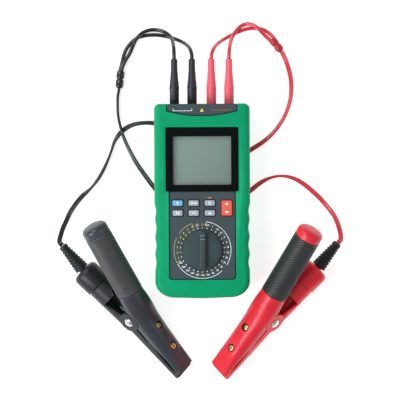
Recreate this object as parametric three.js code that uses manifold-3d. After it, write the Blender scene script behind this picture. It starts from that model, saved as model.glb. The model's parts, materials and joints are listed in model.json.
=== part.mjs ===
// Handheld four-wire cable-length meter in a rubber boot, with two Kelvin clamp leads.
// Millimetres. Origin at the bottom centre of the meter, +Z out of the display,
// +Y towards the end with the input jacks, +X to the right of the display.
import * as THREE from "three";
import { mergeVertices } from "three/addons/utils/BufferGeometryUtils.js";
import Module from "manifold-3d";

const wasm = await Module();
wasm.setup();

// ---------------------------------------------------------------- driving dimensions
const GAP = 0.3; // clearance between pieces that meet
const BOOT = { halfWidth: 47.2, halfLength: 96, back: 5, front: 48, edge: 4 };
const SCALLOP = { count: 4, pitch: 17, depth: 1.2, start: -1, waist: 46.6 };
const CASE = { halfWidth: 43, halfLength: 91.6, back: 9.3, split: 20, front: 44.5, wall: 2.2 };
const PANEL = { halfWidth: 32.6, top: 9.6, bottom: -77, face: 46.6 };
const BEZEL = { halfWidth: 35.6, top: 72.2, bottom: 9.7, face: 47.1 };
const WINDOW = { halfWidth: 28.6, top: 63.6, bottom: 15.8 };
const JACK_PANEL = { halfWidth: 34.7, side: 88.3, middle: 83.4, end: 95.4 };
const JACK = { inside: 9.6, outside: 27.2, height: 30, outer: 6.5, bore: 5.05, floor: 73, mouth: 94.8 };
const PLUG = { shroud: 77, shoulder: 96.6, end: 141, radius: 4.75, tail: 3.1 };
const KEY = { x: [-24.2, -8.4, 7.4], y: [-2, -11.7], size: [10.1, 5.6], face: 47.9 };
const ROCKER = { x: 24.1, y: -7, size: [10.4, 15] };
const KNOB = { y: -48, radius: 19.7, base: 46.9, disc: 50.6, bar: 56.4, barWidth: 7 };
const STAND = { hinge: [-13, 7.1], halfWidth: 29, end: -75, thick: 3 };
const DOOR = { y: 10.6, depth: 1 };
const BATTERY = { bottom: 17, top: 68, halfWidth: 29.5, cells: 4, radius: 7.1 };
const WIRE = 3.9; // diameter of one lead wire
const STRAND = { diameter: 2.6, pitch: 2.4 }; // one half of a twin cable

// Kelvin clamp, in its own frame: U from handle to jaw tip, V along the pivot pin, W opening.
const CLAMP = { opening: 11 };
const HANDLE = { from: [-18, 12.5], slope: 13.86, length: 86, radius: 12.9, root: 13.2, sleeve: 7 };
const BARREL = { from: [-10, -9.3], slope: 13, start: 18, neck: 35.5, end: 58, radius: 13.1 };
const EAR = { radius: 10.6, inner: 11.7, outer: 14.2, pin: 2.5 };

// Where each clamp lies: its pin, the way its jaws point, and how far it is rolled and pitched.
const PLACES = {
  black: {
    pivot: [-66.3, -113.2, 20.4], heading: [0.609, -0.793], side: [0.793, 0.609],
    roll: 44, pitch: 8.7,
  },
  red: {
    pivot: [63.6, -114.2, 21.1], heading: [-0.609, -0.793], side: [-0.793, 0.609],
    roll: 35, pitch: 10.1,
  },
};

// Routes of the lead wires and twin cables, laid by hand.
const WIRES = {
  black_wire_a: [
    [-27.2, 141.5, 30], [-27.3, 146, 29.2], [-27.6, 152, 26], [-28.4, 158, 19.5], [-30, 164, 12],
    [-34, 169, 7.2], [-40, 172.6, 4], [-48, 174.1, 2.6], [-55, 172.9, 4], [-61, 169.5, 6.2],
    [-66, 164, 6.4], [-69.6, 157, 4.2], [-72.7, 150, 3.5], [-76.2, 144.2, 4.4],
    [-78.9, 138.8, 5.6], [-80.4, 134.6, 6], [-81, 131.2, 5.9],
  ],
  black_wire_b: [
    [-9.6, 141.6, 30], [-9.8, 146, 28.8], [-11, 151, 25], [-14, 156, 17.5], [-19, 160.5, 9.2],
    [-26, 164.2, 4.2], [-35, 167.2, 2.2], [-46, 168.8, 2.1], [-57, 168.2, 2.1], [-65, 166, 2.1],
    [-71, 161.4, 2.1], [-76, 155, 2.1], [-78.7, 149, 2.1], [-80.3, 142.4, 2.1],
    [-81.7, 136.6, 2.2], [-83.3, 131.4, 2.5],
  ],
  red_wire_a: [
    [9.6, 141.5, 30], [10.1, 146, 29.2], [11.8, 151, 26], [15, 156.5, 19], [20.4, 161.6, 11],
    [26.6, 165.8, 5.3], [33, 169.4, 2.6], [40, 172.6, 2.1], [48, 174.8, 2.1], [56, 175.2, 2.1],
    [63.4, 173.4, 2.1], [69.2, 169.6, 2.7], [73.6, 165, 4.2],
  ],
  red_wire_b: [
    [27.2, 141.5, 30], [27.4, 146, 29.2], [28, 152, 25.6], [29.2, 159, 17.8], [31.4, 165.4, 11.2],
    [34.8, 171.4, 7.4], [39.4, 176.6, 3.6], [45, 179.4, 2.7], [50.8, 178.7, 5], [56, 175.6, 6.4],
    [60.4, 171.4, 6.2], [65, 166.8, 4.6], [69.9, 162.3, 4.2],
  ],
};
const SPLITTERS = {
  black: { from: [-81.9, 130.8, 4.2], to: [-83.6, 115, 4.2] },
  red: { from: [71.9, 163, 4.2], to: [80.7, 151.9, 4.2] },
};
const TWINS = {
  black: [
    [-83.7, 114.4, 3.8], [-85.1, 107, 2.8], [-85.3, 98, 3.2], [-84.8, 87, 4.4], [-82.4, 75.5, 5.4],
    [-78.6, 63.5, 5], [-73.2, 51, 3.6], [-66, 38, 2.6], [-57.8, 26, 1.9], [-48, 13, 1.5],
    [-40, 5, 1.5], [-31, 3, 1.5], [-24, 9, 1.5], [-20.5, 21, 1.5], [-19.6, 36, 1.5],
    [-20.6, 50, 1.5], [-24, 63, 1.5], [-30, 72.5, 1.5], [-38, 77.6, 1.5], [-48, 79.2, 2.1],
    [-59, 79.6, 2.4], [-71, 77.4, 2.1], [-81.5, 71, 1.5], [-88.4, 61.4, 2.5], [-92.6, 49.6, 2.6],
    [-98, 36.6, 2.5], [-104.8, 24, 2.4], [-113, 13.6, 2.6], [-122, 5.4, 2.2], [-128.6, -2.4, 2.1],
    [-133.8, -10.3, 3.1], [-137.4, -18.8, 6.4], [-140.6, -26.6, 10.4], [-142.5, -34, 14.5],
  ],
  red: [
    [81, 151.5, 3.8], [85.4, 142.6, 2.4], [88.8, 132.4, 2.2], [90.8, 121.8, 2.2], [91, 111, 2.3],
    [89.4, 100.4, 2.4], [86, 90, 2.4], [80.6, 79.6, 2.3], [72.6, 69, 2.3], [62, 59.6, 2.1],
    [50, 52, 1.6], [39, 45, 1.5], [28.4, 37, 1.5], [17.4, 28.6, 1.5], [6, 22.6, 1.5],
    [-4.6, 18.6, 1.5], [-10, 9.6, 1.5], [-6.6, -0.4, 1.5], [4, -5, 1.5], [18, -5, 1.5],
    [31, -1.6, 1.5], [41, 4, 1.5], [50, 11, 1.6], [59, 18, 2], [69, 23, 2.5], [80, 25, 2.6],
    [90.4, 23.4, 2.4], [100.4, 18.6, 2.2], [110.2, 11, 2], [119.6, 2.2, 2], [127, -6.6, 2.6],
    [132.2, -13.2, 4.4], [135.8, -20.8, 8], [137.9, -28, 12], [138.8, -34.2, 15.8],
  ],
};

// ---------------------------------------------------------------- materials
const finish = (color, roughness, metalness = 0) =>
  new THREE.MeshStandardMaterial({ color, roughness, metalness });
const MATERIAL = {
  boot: finish(0x12a66c, 0.6),
  case: finish(0x4b5558, 0.6),
  gloss: finish(0x131518, 0.15),
  glass: new THREE.MeshStandardMaterial({
    color: 0xcfe0dc, roughness: 0.05, transparent: true, opacity: 0.35,
  }),
  lcd: finish(0x7a968c, 0.4),
  circuit: finish(0x1f5c3a, 0.5),
  key: finish(0xbcc4cc, 0.5),
  keyBlue: finish(0x6fb4e4, 0.5),
  keyRed: finish(0xf2735f, 0.5),
  knob: finish(0x40494c, 0.55),
  rubber: finish(0x464a4e, 0.8),
  steel: finish(0xc8cacc, 0.3, 1),
  brass: finish(0xb98a4a, 0.35, 1),
  copper: finish(0xb8703f, 0.35, 1),
  black: finish(0x2b2f36, 0.4),
  red: finish(0xe8202f, 0.4),
};

// ---------------------------------------------------------------- solids
function toSolid(geometry) {
  const bare = geometry.index ? geometry.toNonIndexed() : geometry.clone();
  bare.deleteAttribute("normal");
  bare.deleteAttribute("uv");
  const merged = mergeVertices(bare, 1e-4);
  return new wasm.Manifold(
    new wasm.Mesh({
      numProp: 3,
      vertProperties: merged.attributes.position.array,
      triVerts: new Uint32Array(merged.index.array),
    }),
  );
}

function toGeometry(solid) {
  const mesh = solid.getMesh();
  return new THREE.BufferGeometry()
    .setAttribute("position", new THREE.BufferAttribute(mesh.vertProperties, 3))
    .setIndex(new THREE.BufferAttribute(mesh.triVerts, 1));
}

const join = (...solids) => solids.reduce((whole, piece) => whole.add(piece));
const cut = (whole, ...tools) => tools.reduce((rest, tool) => rest.subtract(tool), whole);

// An outline in XY raised from one height to another, with rounded edges if edge > 0.
function raised(outline, low, high, edge = 0, segments = 4, steps = 1) {
  const geometry = new THREE.ExtrudeGeometry(outline, {
    depth: high - low - 2 * edge,
    bevelEnabled: edge > 0,
    bevelThickness: edge,
    bevelSize: edge,
    bevelOffset: -edge,
    bevelSegments: steps,
    curveSegments: segments,
  });
  return toSolid(geometry.translate(0, 0, low + edge));
}

// An outline in UW carried evenly to both sides along V.
function across(outline, halfWidth, segments = 2) {
  const geometry = new THREE.ExtrudeGeometry(outline, {
    depth: 2 * halfWidth, bevelEnabled: false, curveSegments: segments,
  });
  return toSolid(geometry.translate(0, 0, -halfWidth).rotateX(Math.PI / 2));
}

// A profile of [radius, distance] pairs turned about a line from `start` along `direction`.
function turned(profile, start, direction, segments = 16) {
  const points = profile.map(([radius, distance]) => new THREE.Vector2(radius, distance));
  const turn = new THREE.Quaternion().setFromUnitVectors(
    new THREE.Vector3(0, 1, 0),
    new THREE.Vector3(...direction).normalize(),
  );
  const geometry = new THREE.LatheGeometry(points, segments);
  return toSolid(geometry.applyQuaternion(turn).translate(...start));
}

const rod = (radius, length, start, direction, segments = 16) =>
  turned([[0, 0], [radius, 0], [radius, length], [0, length]], start, direction, segments);

const block = (x0, x1, y0, y1, z0, z1) =>
  toSolid(
    new THREE.BoxGeometry(x1 - x0, y1 - y0, z1 - z0)
      .translate((x0 + x1) / 2, (y0 + y1) / 2, (z0 + z1) / 2),
  );

// Closed rings of equal point count joined into one skin with flat ends.
function lofted(rings) {
  const count = rings[0].length;
  const positions = rings.flat().flatMap((point) => [point.x, point.y, point.z]);
  const faces = [];
  for (let r = 0; r + 1 < rings.length; r++)
    for (let k = 0; k < count; k++) {
      const a = r * count + k, b = r * count + ((k + 1) % count);
      faces.push(a, b, b + count, a, b + count, a + count);
    }
  const last = (rings.length - 1) * count;
  for (let k = 1; k + 1 < count; k++) {
    faces.push(0, k + 1, k);
    faces.push(last, last + k, last + k + 1);
  }
  const geometry = new THREE.BufferGeometry()
    .setAttribute("position", new THREE.Float32BufferAttribute(positions, 3))
    .setIndex(faces);
  return toSolid(geometry);
}

// One ring across the clamp at U: half width, lowest and highest W, and how square it is.
function ringAt([u, halfWidth, low, high, square], points = 16) {
  const middle = (low + high) / 2, half = (high - low) / 2;
  const bend = (value) => Math.sign(value) * Math.abs(value) ** (2 / square);
  return Array.from({ length: points }, (_, k) => {
    const angle = (2 * Math.PI * k) / points;
    return new THREE.Vector3(
      u,
      halfWidth * bend(Math.cos(angle)),
      middle + half * bend(Math.sin(angle)),
    );
  });
}

// ---------------------------------------------------------------- outlines
function roundedRect(x0, x1, y0, y1, radius) {
  const shape = new THREE.Shape();
  shape.moveTo(x0 + radius, y0);
  shape.lineTo(x1 - radius, y0);
  shape.absarc(x1 - radius, y0 + radius, radius, -Math.PI / 2, 0);
  shape.lineTo(x1, y1 - radius);
  shape.absarc(x1 - radius, y1 - radius, radius, 0, Math.PI / 2);
  shape.lineTo(x0 + radius, y1);
  shape.absarc(x0 + radius, y1 - radius, radius, Math.PI / 2, Math.PI);
  shape.lineTo(x0, y0 + radius);
  shape.absarc(x0 + radius, y0 + radius, radius, Math.PI, 1.5 * Math.PI);
  return shape;
}

// Half width of the boot at height y: straight at the top, finger scallops lower down.
function bootHalfWidth(y) {
  const travelled = SCALLOP.start - y;
  if (travelled < 0) return BOOT.halfWidth;
  const ripple = travelled < SCALLOP.count * SCALLOP.pitch
    ? (1 - Math.cos((2 * Math.PI * travelled) / SCALLOP.pitch)) / 2 : 0;
  const fall = Math.min(1, travelled / SCALLOP.pitch) * (BOOT.halfWidth - SCALLOP.waist);
  return BOOT.halfWidth - fall - SCALLOP.depth * ripple;
}

// Meter outline: small top corners, large bottom corners and a slightly bowed bottom edge.
function meterOutline(halfWidthAt, halfLength, topRadius, bottomRadius, bow, steps) {
  const right = [new THREE.Vector2(0, -halfLength)];
  const low = halfWidthAt(-halfLength + bottomRadius);
  for (let k = 0; k <= 5; k++) {
    const angle = (-90 + 18 * k) * (Math.PI / 180);
    right.push(new THREE.Vector2(
      low - bottomRadius * 1.12 * (1 - Math.cos(angle)),
      -halfLength + bow + (bottomRadius - bow) * (1 + Math.sin(angle)),
    ));
  }
  const from = -halfLength + bottomRadius, to = halfLength - topRadius;
  for (let k = 1; k < steps; k++) {
    const y = from + ((to - from) * k) / steps;
    right.push(new THREE.Vector2(halfWidthAt(y), y));
  }
  for (let k = 0; k <= 3; k++) {
    const angle = (30 * k * Math.PI) / 180;
    right.push(new THREE.Vector2(
      halfWidthAt(to) - topRadius * (1 - Math.cos(angle)),
      to + topRadius * Math.sin(angle),
    ));
  }
  const left = right.slice(1).reverse().map((point) => new THREE.Vector2(-point.x, point.y));
  return new THREE.Shape([...right, ...left]);
}

const caseOutline = (inset) =>
  meterOutline(() => CASE.halfWidth - inset, CASE.halfLength - inset, 5, 15, 0.6, 2);

function jackPanelOutline(grow) {
  const half = JACK_PANEL.halfWidth + grow, end = JACK_PANEL.end + 4 * grow;
  const shape = new THREE.Shape();
  shape.moveTo(-half, end);
  shape.lineTo(-half, JACK_PANEL.side - grow);
  shape.quadraticCurveTo(0, 2 * JACK_PANEL.middle - JACK_PANEL.side - grow,
    half, JACK_PANEL.side - grow);
  shape.lineTo(half, end);
  return shape;
}

// ---------------------------------------------------------------- meter
const jackPlaces = [-JACK.outside, -JACK.inside, JACK.inside, JACK.outside];
const keyPlaces = KEY.y.flatMap((y) => KEY.x.map((x) => [x, y]));

function boot() {
  const outline = meterOutline(bootHalfWidth, BOOT.halfLength, 5.5, 17, 1, 30);
  const shell = raised(outline, BOOT.back, BOOT.front, BOOT.edge, 4, 3);
  const hollow = raised(caseOutline(-GAP), CASE.back - GAP, CASE.front + GAP);
  const openings = [
    block(-PANEL.halfWidth - GAP, PANEL.halfWidth + GAP, PANEL.bottom - GAP, PANEL.top + 1,
      CASE.front, BOOT.front + 1),
    block(-BEZEL.halfWidth - GAP, BEZEL.halfWidth + GAP, BEZEL.bottom - GAP, BEZEL.top + GAP,
      CASE.front, BOOT.front + 1),
    raised(jackPanelOutline(GAP), CASE.split - 3, BOOT.front + 1),
    raised(roundedRect(-34.6, 34.6, -79, -6, 4), BOOT.back - 1, CASE.back),
  ];
  const feet = [
    raised(roundedRect(-10, 10, 48, 90, 4), 0, BOOT.back + 1),
    raised(roundedRect(-38, -20, -89.5, -82, 3), 0, BOOT.back + 1),
    raised(roundedRect(20, 38, -89.5, -82, 3), 0, BOOT.back + 1),
  ];
  return join(cut(shell, hollow, ...openings), ...feet);
}

function frontCase() {
  const shell = cut(
    raised(caseOutline(0), CASE.split + GAP, CASE.front),
    raised(caseOutline(CASE.wall), CASE.split - 1, CASE.front - CASE.wall),
  );
  const panels = [
    raised(roundedRect(-PANEL.halfWidth, PANEL.halfWidth, PANEL.bottom, PANEL.top - GAP, 3),
      CASE.front - 1, PANEL.face, 0.8),
    raised(jackPanelOutline(0), CASE.split + GAP, PANEL.face, 0.8),
  ];
  const holes = [
    block(-WINDOW.halfWidth - 1.4, WINDOW.halfWidth + 1.4, WINDOW.bottom - 1.4, WINDOW.top + 1.4,
      30, CASE.front + 1),
    rod(5, 20, [0, KNOB.y, 30], [0, 0, 1]),
    ...keyPlaces.map(([x, y]) => keyHole(x, y, KEY.size)),
    keyHole(ROCKER.x, ROCKER.y, ROCKER.size),
    ...jackPlaces.map((x) => rod(JACK.outer + GAP, 40, [x, 60, JACK.height], [0, 1, 0])),
  ];
  return cut(join(shell, ...panels), ...holes);
}

function keyHole(x, y, [width, length]) {
  const half = [width / 2 + 0.45, length / 2 + 0.45];
  return raised(roundedRect(x - half[0], x + half[0], y - half[1], y + half[1], 1.5),
    30, PANEL.face + 1, 0, 2);
}

function rearCase() {
  const shell = cut(
    raised(caseOutline(0), CASE.back, CASE.split),
    raised(caseOutline(CASE.wall), CASE.back + CASE.wall, CASE.split + 1),
  );
  const bay = block(-31, 31, BATTERY.bottom - 2, BATTERY.top + 2, 5, CASE.back + CASE.wall + 1);
  const [hingeY, hingeZ] = STAND.hinge;
  const lugs = [-1, 1].map((side) => cut(
    block(Math.min(side * 31.4, side * 34), Math.max(side * 31.4, side * 34),
      hingeY - 2.4, hingeY + 2.4, BOOT.back, CASE.back + 1),
    rod(1.5, 80, [-40, hingeY, hingeZ], [1, 0, 0], 10),
  ));
  const { y, depth } = DOOR;
  const pocket = block(-8, 8, y - 4, y + 6, CASE.back - 1, CASE.back + depth + GAP);
  const post = rod(4, CASE.split - CASE.back - 2, [0, y, CASE.back + 1.6], [0, 0, 1], 10);
  const thread = rod(1.7, 20, [0, y, CASE.back], [0, 0, 1], 10);
  return join(cut(join(cut(shell, bay), post), pocket, thread), ...lugs);
}

function batteryDoor() {
  const { y, depth } = DOOR;
  const lid = block(-30.6, 30.6, BATTERY.bottom - 1.6, BATTERY.top + 1.6, CASE.back, CASE.back + 2);
  const tab = block(-7.6, 7.6, y - 3.6, BATTERY.bottom, CASE.back, CASE.back + depth);
  return cut(join(lid, tab), rod(2.9, 10, [0, y, CASE.back - 1], [0, 0, 1], 12));
}

function doorScrew() {
  return turned([[0, 0.1], [2.6, 0.1], [2.6, 0.9], [1.4, 0.9], [1.4, 8], [0, 8]],
    [0, DOOR.y, CASE.back], [0, 0, 1], 10);
}

function bezel() {
  const frame = raised(
    roundedRect(-BEZEL.halfWidth, BEZEL.halfWidth, BEZEL.bottom, BEZEL.top, 1.5),
    CASE.front + GAP, BEZEL.face, 0.6);
  return cut(frame, block(-WINDOW.halfWidth, WINDOW.halfWidth, WINDOW.bottom, WINDOW.top, 40, 60));
}

function key(x, y, [width, length], flangeTop = 41.9) {
  const half = [width / 2, length / 2];
  const stem = raised(roundedRect(x - half[0], x + half[0], y - half[1], y + half[1], 1.2),
    flangeTop - 0.7, KEY.face, 0.5, 2);
  const flange = block(x - half[0] - 0.9, x + half[0] + 0.9, y - half[1] - 0.9, y + half[1] + 0.9,
    flangeTop - 0.7, flangeTop);
  return join(stem, flange);
}

function knob() {
  const { y, radius, base, disc, bar, barWidth } = KNOB;
  const body = turned(
    [[0, 39.7], [4.4, 39.7], [4.4, base], [radius, base], [radius, disc - 1.2],
      [radius - 1.2, disc], [0, disc + 0.5]],
    [0, y, 0], [0, 0, 1], 32);
  const reach = radius - 0.8, half = barWidth / 2;
  const pointer = raised(
    roundedRect(-half, half, y - reach, y + reach, 3), disc - 1, bar, 0.9);
  return join(body, cut(pointer, block(-5, 5, y + radius - 4.5, y + radius - 3.9, bar - 0.5, 60)));
}

function selectorRotor() {
  return turned([[4.8, 37], [15, 37], [15, 39.3], [4.8, 39.3], [4.8, 37]],
    [0, KNOB.y, 0], [0, 0, 1], 20);
}

function jackBlock() {
  const { outer, bore, floor, mouth, height } = JACK;
  const plate = block(-35, 35, floor - 3, floor, height - 7, height + 7);
  return join(plate, ...jackPlaces.flatMap((x) => [
    turned([[bore, 0], [outer, 0], [outer, mouth - floor], [bore, mouth - floor], [bore, 0]],
      [x, floor, height], [0, 1, 0], 12),
    turned([[0, -1], [3, -1], [3, 18], [2.2, 18], [2.2, 0], [0, 0]],
      [x, floor, height], [0, 1, 0], 8),
  ]));
}

function batteryPack() {
  const { bottom, top, halfWidth, cells, radius } = BATTERY;
  const low = CASE.back + CASE.wall + 1;
  const tray = block(-halfWidth, halfWidth, bottom, top, low, low + 1.5);
  const pitch = (2 * halfWidth) / cells;
  return join(tray, ...Array.from({ length: cells }, (_, k) =>
    rod(radius, top - bottom - 1, [-halfWidth + pitch * (k + 0.5), bottom + 0.5, low + radius + 0.8],
      [0, 1, 0], 10)));
}

function tiltStand() {
  const { hinge: [y, z], halfWidth, end, thick } = STAND;
  const plate = cut(
    raised(roundedRect(-halfWidth, halfWidth, end, y, 4), z - thick / 2, z + thick / 2, 0.6),
    raised(roundedRect(-18, 18, end + 13, y - 12, 4), 0, 12),
  );
  return join(plate,
    rod(1.9, 2 * halfWidth + 3.4, [-halfWidth - 1.7, y, z], [1, 0, 0], 12),
    rod(1.1, 67, [-33.5, y, z], [1, 0, 0], 8));
}

// ---------------------------------------------------------------- leads
function plug(x) {
  const { shroud, shoulder, end, radius, tail } = PLUG;
  const length = end - shroud, sleeve = shoulder - shroud;
  return turned(
    [[3.5, 0], [radius, 0], [radius, sleeve + 15], [radius + 0.35, sleeve + 15.4],
      [radius + 0.35, sleeve + 16.6], [radius, sleeve + 17.2], [radius - 0.4, sleeve + 24],
      [tail + 0.2, length - 6], [tail, length - 5], [tail, length], [0, length],
      [0, sleeve + 22], [2.3, sleeve + 22], [2.3, sleeve], [3.5, sleeve], [3.5, 0]],
    [x, shroud, JACK.height], [0, 1, 0], 12);
}

const plugPin = (x) =>
  turned([[0, 0], [1.2, 0], [1.9, 1.2], [1.9, 39], [0, 39]],
    [x, PLUG.shroud + 1.2, JACK.height], [0, 1, 0], 8);

// A closed section carried along a smooth route.
function cord(points, section, spacing) {
  const route = new THREE.CatmullRomCurve3(
    points.map((point) => new THREE.Vector3(...point)), false, "centripetal");
  const steps = Math.ceil(route.getLength() / spacing);
  return toSolid(new THREE.ExtrudeGeometry(section, {
    steps, bevelEnabled: false, curveSegments: 2, extrudePath: route,
  }));
}

function roundSection(radius, sides) {
  return new THREE.Shape(Array.from({ length: sides }, (_, k) => {
    const angle = (2 * Math.PI * k) / sides;
    return new THREE.Vector2(radius * Math.cos(angle), radius * Math.sin(angle));
  }));
}

// Two strands side by side: section X is vertical on a level route, Y is across it.
function twinSection() {
  const r = STRAND.diameter / 2, half = STRAND.pitch / 2 + r;
  return new THREE.Shape([[0.9 * r, 0.3 * r], [r, half - r], [0.7 * r, half - 0.3 * r], [0, half],
    [-0.7 * r, half - 0.3 * r], [-r, half - r], [-0.9 * r, 0], [-r, r - half],
    [-0.7 * r, 0.3 * r - half], [0, -half], [0.7 * r, 0.3 * r - half], [r, r - half]]
    .map(([x, y]) => new THREE.Vector2(x, y)));
}

function splitter({ from, to }) {
  const start = new THREE.Vector3(...from), along = new THREE.Vector3(...to).sub(start);
  const length = along.length() - 0.8;
  return turned([[0, 0], [3.5, 0], [3.9, 0.8], [3.9, 6.4], [3.5, 7], [3.9, 7.6], [3.9, length - 2],
    [3.2, length], [0, length]], from, along.toArray(), 12);
}

// ---------------------------------------------------------------- clamp pieces, own frame
const CONTACT = { seat: 9.2, halfWidth: 5.5 };
const SCREWS = [{ name: "rear", u: 19.8, w: 15.6 }, { name: "front", u: 46, w: 13.2 }];
const degrees = Math.PI / 180;
const handleWay = [-Math.cos(HANDLE.slope * degrees), 0, Math.sin(HANDLE.slope * degrees)];
const handleRoot = [HANDLE.from[0], 0, HANDLE.from[1]];
const barrelWay = [-Math.cos(BARREL.slope * degrees), 0, -Math.sin(BARREL.slope * degrees)];
const barrelRoot = [BARREL.from[0], 0, BARREL.from[1]];
const reliefWay = [-1, 0, -0.05];
const onBarrel = (distance) => barrelRoot.map((value, k) => value + barrelWay[k] * distance);
const boss = (radius, halfWidth) =>
  rod(radius, 2 * halfWidth, [0, -halfWidth, 0], [0, 1, 0], 24);

// Rings along the upper body: U, half width, lowest W, highest W, squareness.
const UPPER_RINGS = [
  [-20, 13.4, -1, 26.4, 2], [-10, 14.1, -3, 24.9, 2.1], [-2, 14.4, -4, 22.7, 2.3],
  [4, 14, -4, 20.6, 2.6], [10, 13, -4, 18.9, 3], [18, 12.7, -4, 17.8, 3.2],
  [34, 12.2, -4, 16.2, 3.4], [60, 11.6, -4, 12.8, 4.5], [74, 11.2, -4, 11, 6],
];
// Rings along the lower body, from the open channel behind the pin to the tip.
const LOWER_RINGS = [
  [-30, 13.4, -27.3, 0, 2], [-14, 13.4, -23.4, 3, 2], [0, 13.4, -20.2, 6.6, 2],
  [8, 12.8, -13.6, 8, 2.8], [14, 12.4, -11.8, 8, 3.4], [36, 12, -8.3, 8, 4], [60, 11.5, -4.5, 8, 5],
  [75.5, 11.2, -2.2, 8, 6],
];
const hollowed = (rings, wall) =>
  rings.map(([u, halfWidth, low, high, square]) =>
    [u, halfWidth - wall, low + wall, high - wall, square]);

// Side view of the jaw line: closed at the tip and hollow behind it.
function jawShape(points, ends) {
  const shape = new THREE.Shape();
  shape.moveTo(...ends[0]);
  shape.lineTo(...points[0]);
  shape.splineThru(points.slice(1).map((point) => new THREE.Vector2(...point)));
  shape.lineTo(...ends[1]);
  return shape;
}

function upperJaw() {
  const { length, radius, root, sleeve } = HANDLE;
  const outer = lofted(UPPER_RINGS.map((ring) => ringAt(ring)));
  const inner = lofted(hollowed(UPPER_RINGS, 2.4).slice(0, 8).map((ring) => ringAt(ring, 12)));
  const side = across(jawShape(
    [[72.6, 4.8], [66, 5.8], [56, 6.4], [44, 5.2], [32, 2.6], [20, 0.6], [-8, 0.6], [-26, -3]],
    [[72.6, 30], [-26, 30]]), 20);
  const shoulder = rod(30, 60, handleRoot, handleWay);
  const skirt = cut(outer.intersect(side), inner, shoulder);
  const handle = turned(
    [[0, -3], [root - 1.2, -3], [root, 0], [root, sleeve - GAP], [root - 2, sleeve - GAP],
      [radius - 2, length - 11],
      [radius, length - 10.7], [radius, length - 3.5], [radius - 2.4, length - 0.8], [0, length]],
    handleRoot, handleWay, 20);
  const sleeves = [-1, 1].map((side) => {
    const low = side < 0 ? -20 : EAR.inner - GAP;
    return rod(EAR.radius + GAP, 20 - EAR.inner + GAP, [0, low, 0], [0, 1, 0], 24);
  });
  const screws = SCREWS.flatMap(({ u, w }) => [
    rod(3.4, 20, [u, 0, w], [0, 0, 1], 14), rod(1.6, 30, [u, 0, 0], [0, 0, 1], 10),
  ]);
  const bosses = SCREWS.map(({ u, w }) => rod(4.6, w, [u, 0, CONTACT.seat], [0, 0, 1], 12)
    .intersect(outer));
  return cut(join(skirt, handle, ...bosses), ...sleeves, ...screws,
    boss(EAR.pin + GAP, 20), block(12.7, 70.3, -5.8, 5.8, 0, CONTACT.seat + GAP));
}

function grip() {
  const { length, radius, root, sleeve: from } = HANDLE;
  const to = length - 11.3, wall = 1.6;
  return turned([[root - wall, from], [root, from], [radius, to], [radius - wall, to],
    [root - wall, from]], handleRoot, handleWay, 20);
}

function lowerJaw() {
  const outer = lofted(LOWER_RINGS.map((ring) => ringAt(ring)));
  const inner = lofted(hollowed(LOWER_RINGS, 2.4).slice(0, 7).map((ring) => ringAt(ring, 12)));
  const side = across(jawShape(
    [[75.5, 4.4], [71, 4.4], [66, 3], [56, 2.2], [44, 2.2], [34, 2.3], [22, 0.3], [12, 0], [5, -1.4],
      [0, -2.6], [-10, -4.6], [-20, -9.6], [-30, -16]],
    [[75.5, -40], [-30, -40]]), 20);
  const skirt = cut(outer.intersect(side), inner);
  const { start, neck, end, radius } = BARREL;
  const barrel = turned(
    [[0, neck - 8], [radius - 2.4, neck - 8], [radius - 2.4, start], [radius, start],
      [radius, neck - 0.4], [radius - 1.2, neck - 0.4], [radius - 1.2, end - 4.8],
      [0, end - 4.8]],
    barrelRoot, barrelWay, 24);
  const ears = [-1, 1].map((side) => {
    const low = side < 0 ? -EAR.outer : EAR.inner;
    return rod(EAR.radius, EAR.outer - EAR.inner, [0, low, 0], [0, 1, 0], 24);
  });
  const handleRoom = turned([[0, -30], [HANDLE.root + 0.6, -30], [HANDLE.radius + 0.8, 100], [0, 100]],
    handleRoot, handleWay, 20);
  const levers = handleRoom.rotate([0, -CLAMP.opening, 0]);
  return cut(join(cut(skirt, levers), ...ears, cut(barrel, levers)), boss(EAR.pin + GAP, 20),
    block(-24, 13, -EAR.inner + GAP / 2, EAR.inner - GAP / 2, -11, 14),
    block(12.7, 70.3, -5.8, 5.8, -1.2, 10));
}

function handleCap() {
  const { neck, end, radius } = BARREL;
  const outer = radius + 0.8, inner = radius - 0.9;
  return turned(
    [[inner, neck], [outer - 0.4, neck], [outer, neck + 1], [outer, end - 6], [outer - 1.6, end - 2.4],
      [outer - 5, end], [5.6, end], [5.6, end - 3.4], [inner, end - 3.8], [inner, neck]],
    barrelRoot, barrelWay, 24);
}

const RELIEF = { base: 7.1, tip: 4.3, length: 32, ribs: 8 };

function strainRelief() {
  const { base, tip, length, ribs } = RELIEF;
  const profile = [[0, -4], [4, -4], [4, 1.5], [base, 1.5], [base, 4]];
  const step = (length - 6) / ribs;
  for (let k = 0; k < ribs; k++) {
    const radius = base + ((tip - base) * (k + 0.5)) / ribs;
    profile.push([radius - 0.6, 4 + step * (k + 0.2)], [radius, 4 + step * (k + 0.6)]);
  }
  profile.push([tip, length - 1], [tip, length], [0, length]);
  return turned(profile, onBarrel(BARREL.end), reliefWay, 12);
}

function pivotPin() {
  const head = EAR.outer + GAP;
  return turned([[0, -head - 1.5], [3.6, -head - 1.5], [4.6, -head], [EAR.pin, -head],
    [EAR.pin, head], [4.6, head], [3.6, head + 1.5], [0, head + 1.5]], [0, 0, 0], [0, 1, 0], 16);
}

// Torsion spring wound round the pin, one leg under each half.
function spring() {
  const turns = 3, radius = 4.6, wire = 0.8, perTurn = 8;
  const points = [];
  for (let k = 0; k <= turns * perTurn; k++) {
    const angle = (2 * Math.PI * k) / perTurn;
    points.push([radius * Math.sin(angle), -3.6 + (7.2 * k) / (turns * perTurn),
      -radius * Math.cos(angle)]);
  }
  const legs = [[-16, -4.4, -7.4], [-8, -4, -5.6]];
  return cord([...legs, ...points, [-7, 3.8, -4.2]], roundSection(wire, 5), 3.4);
}

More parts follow.
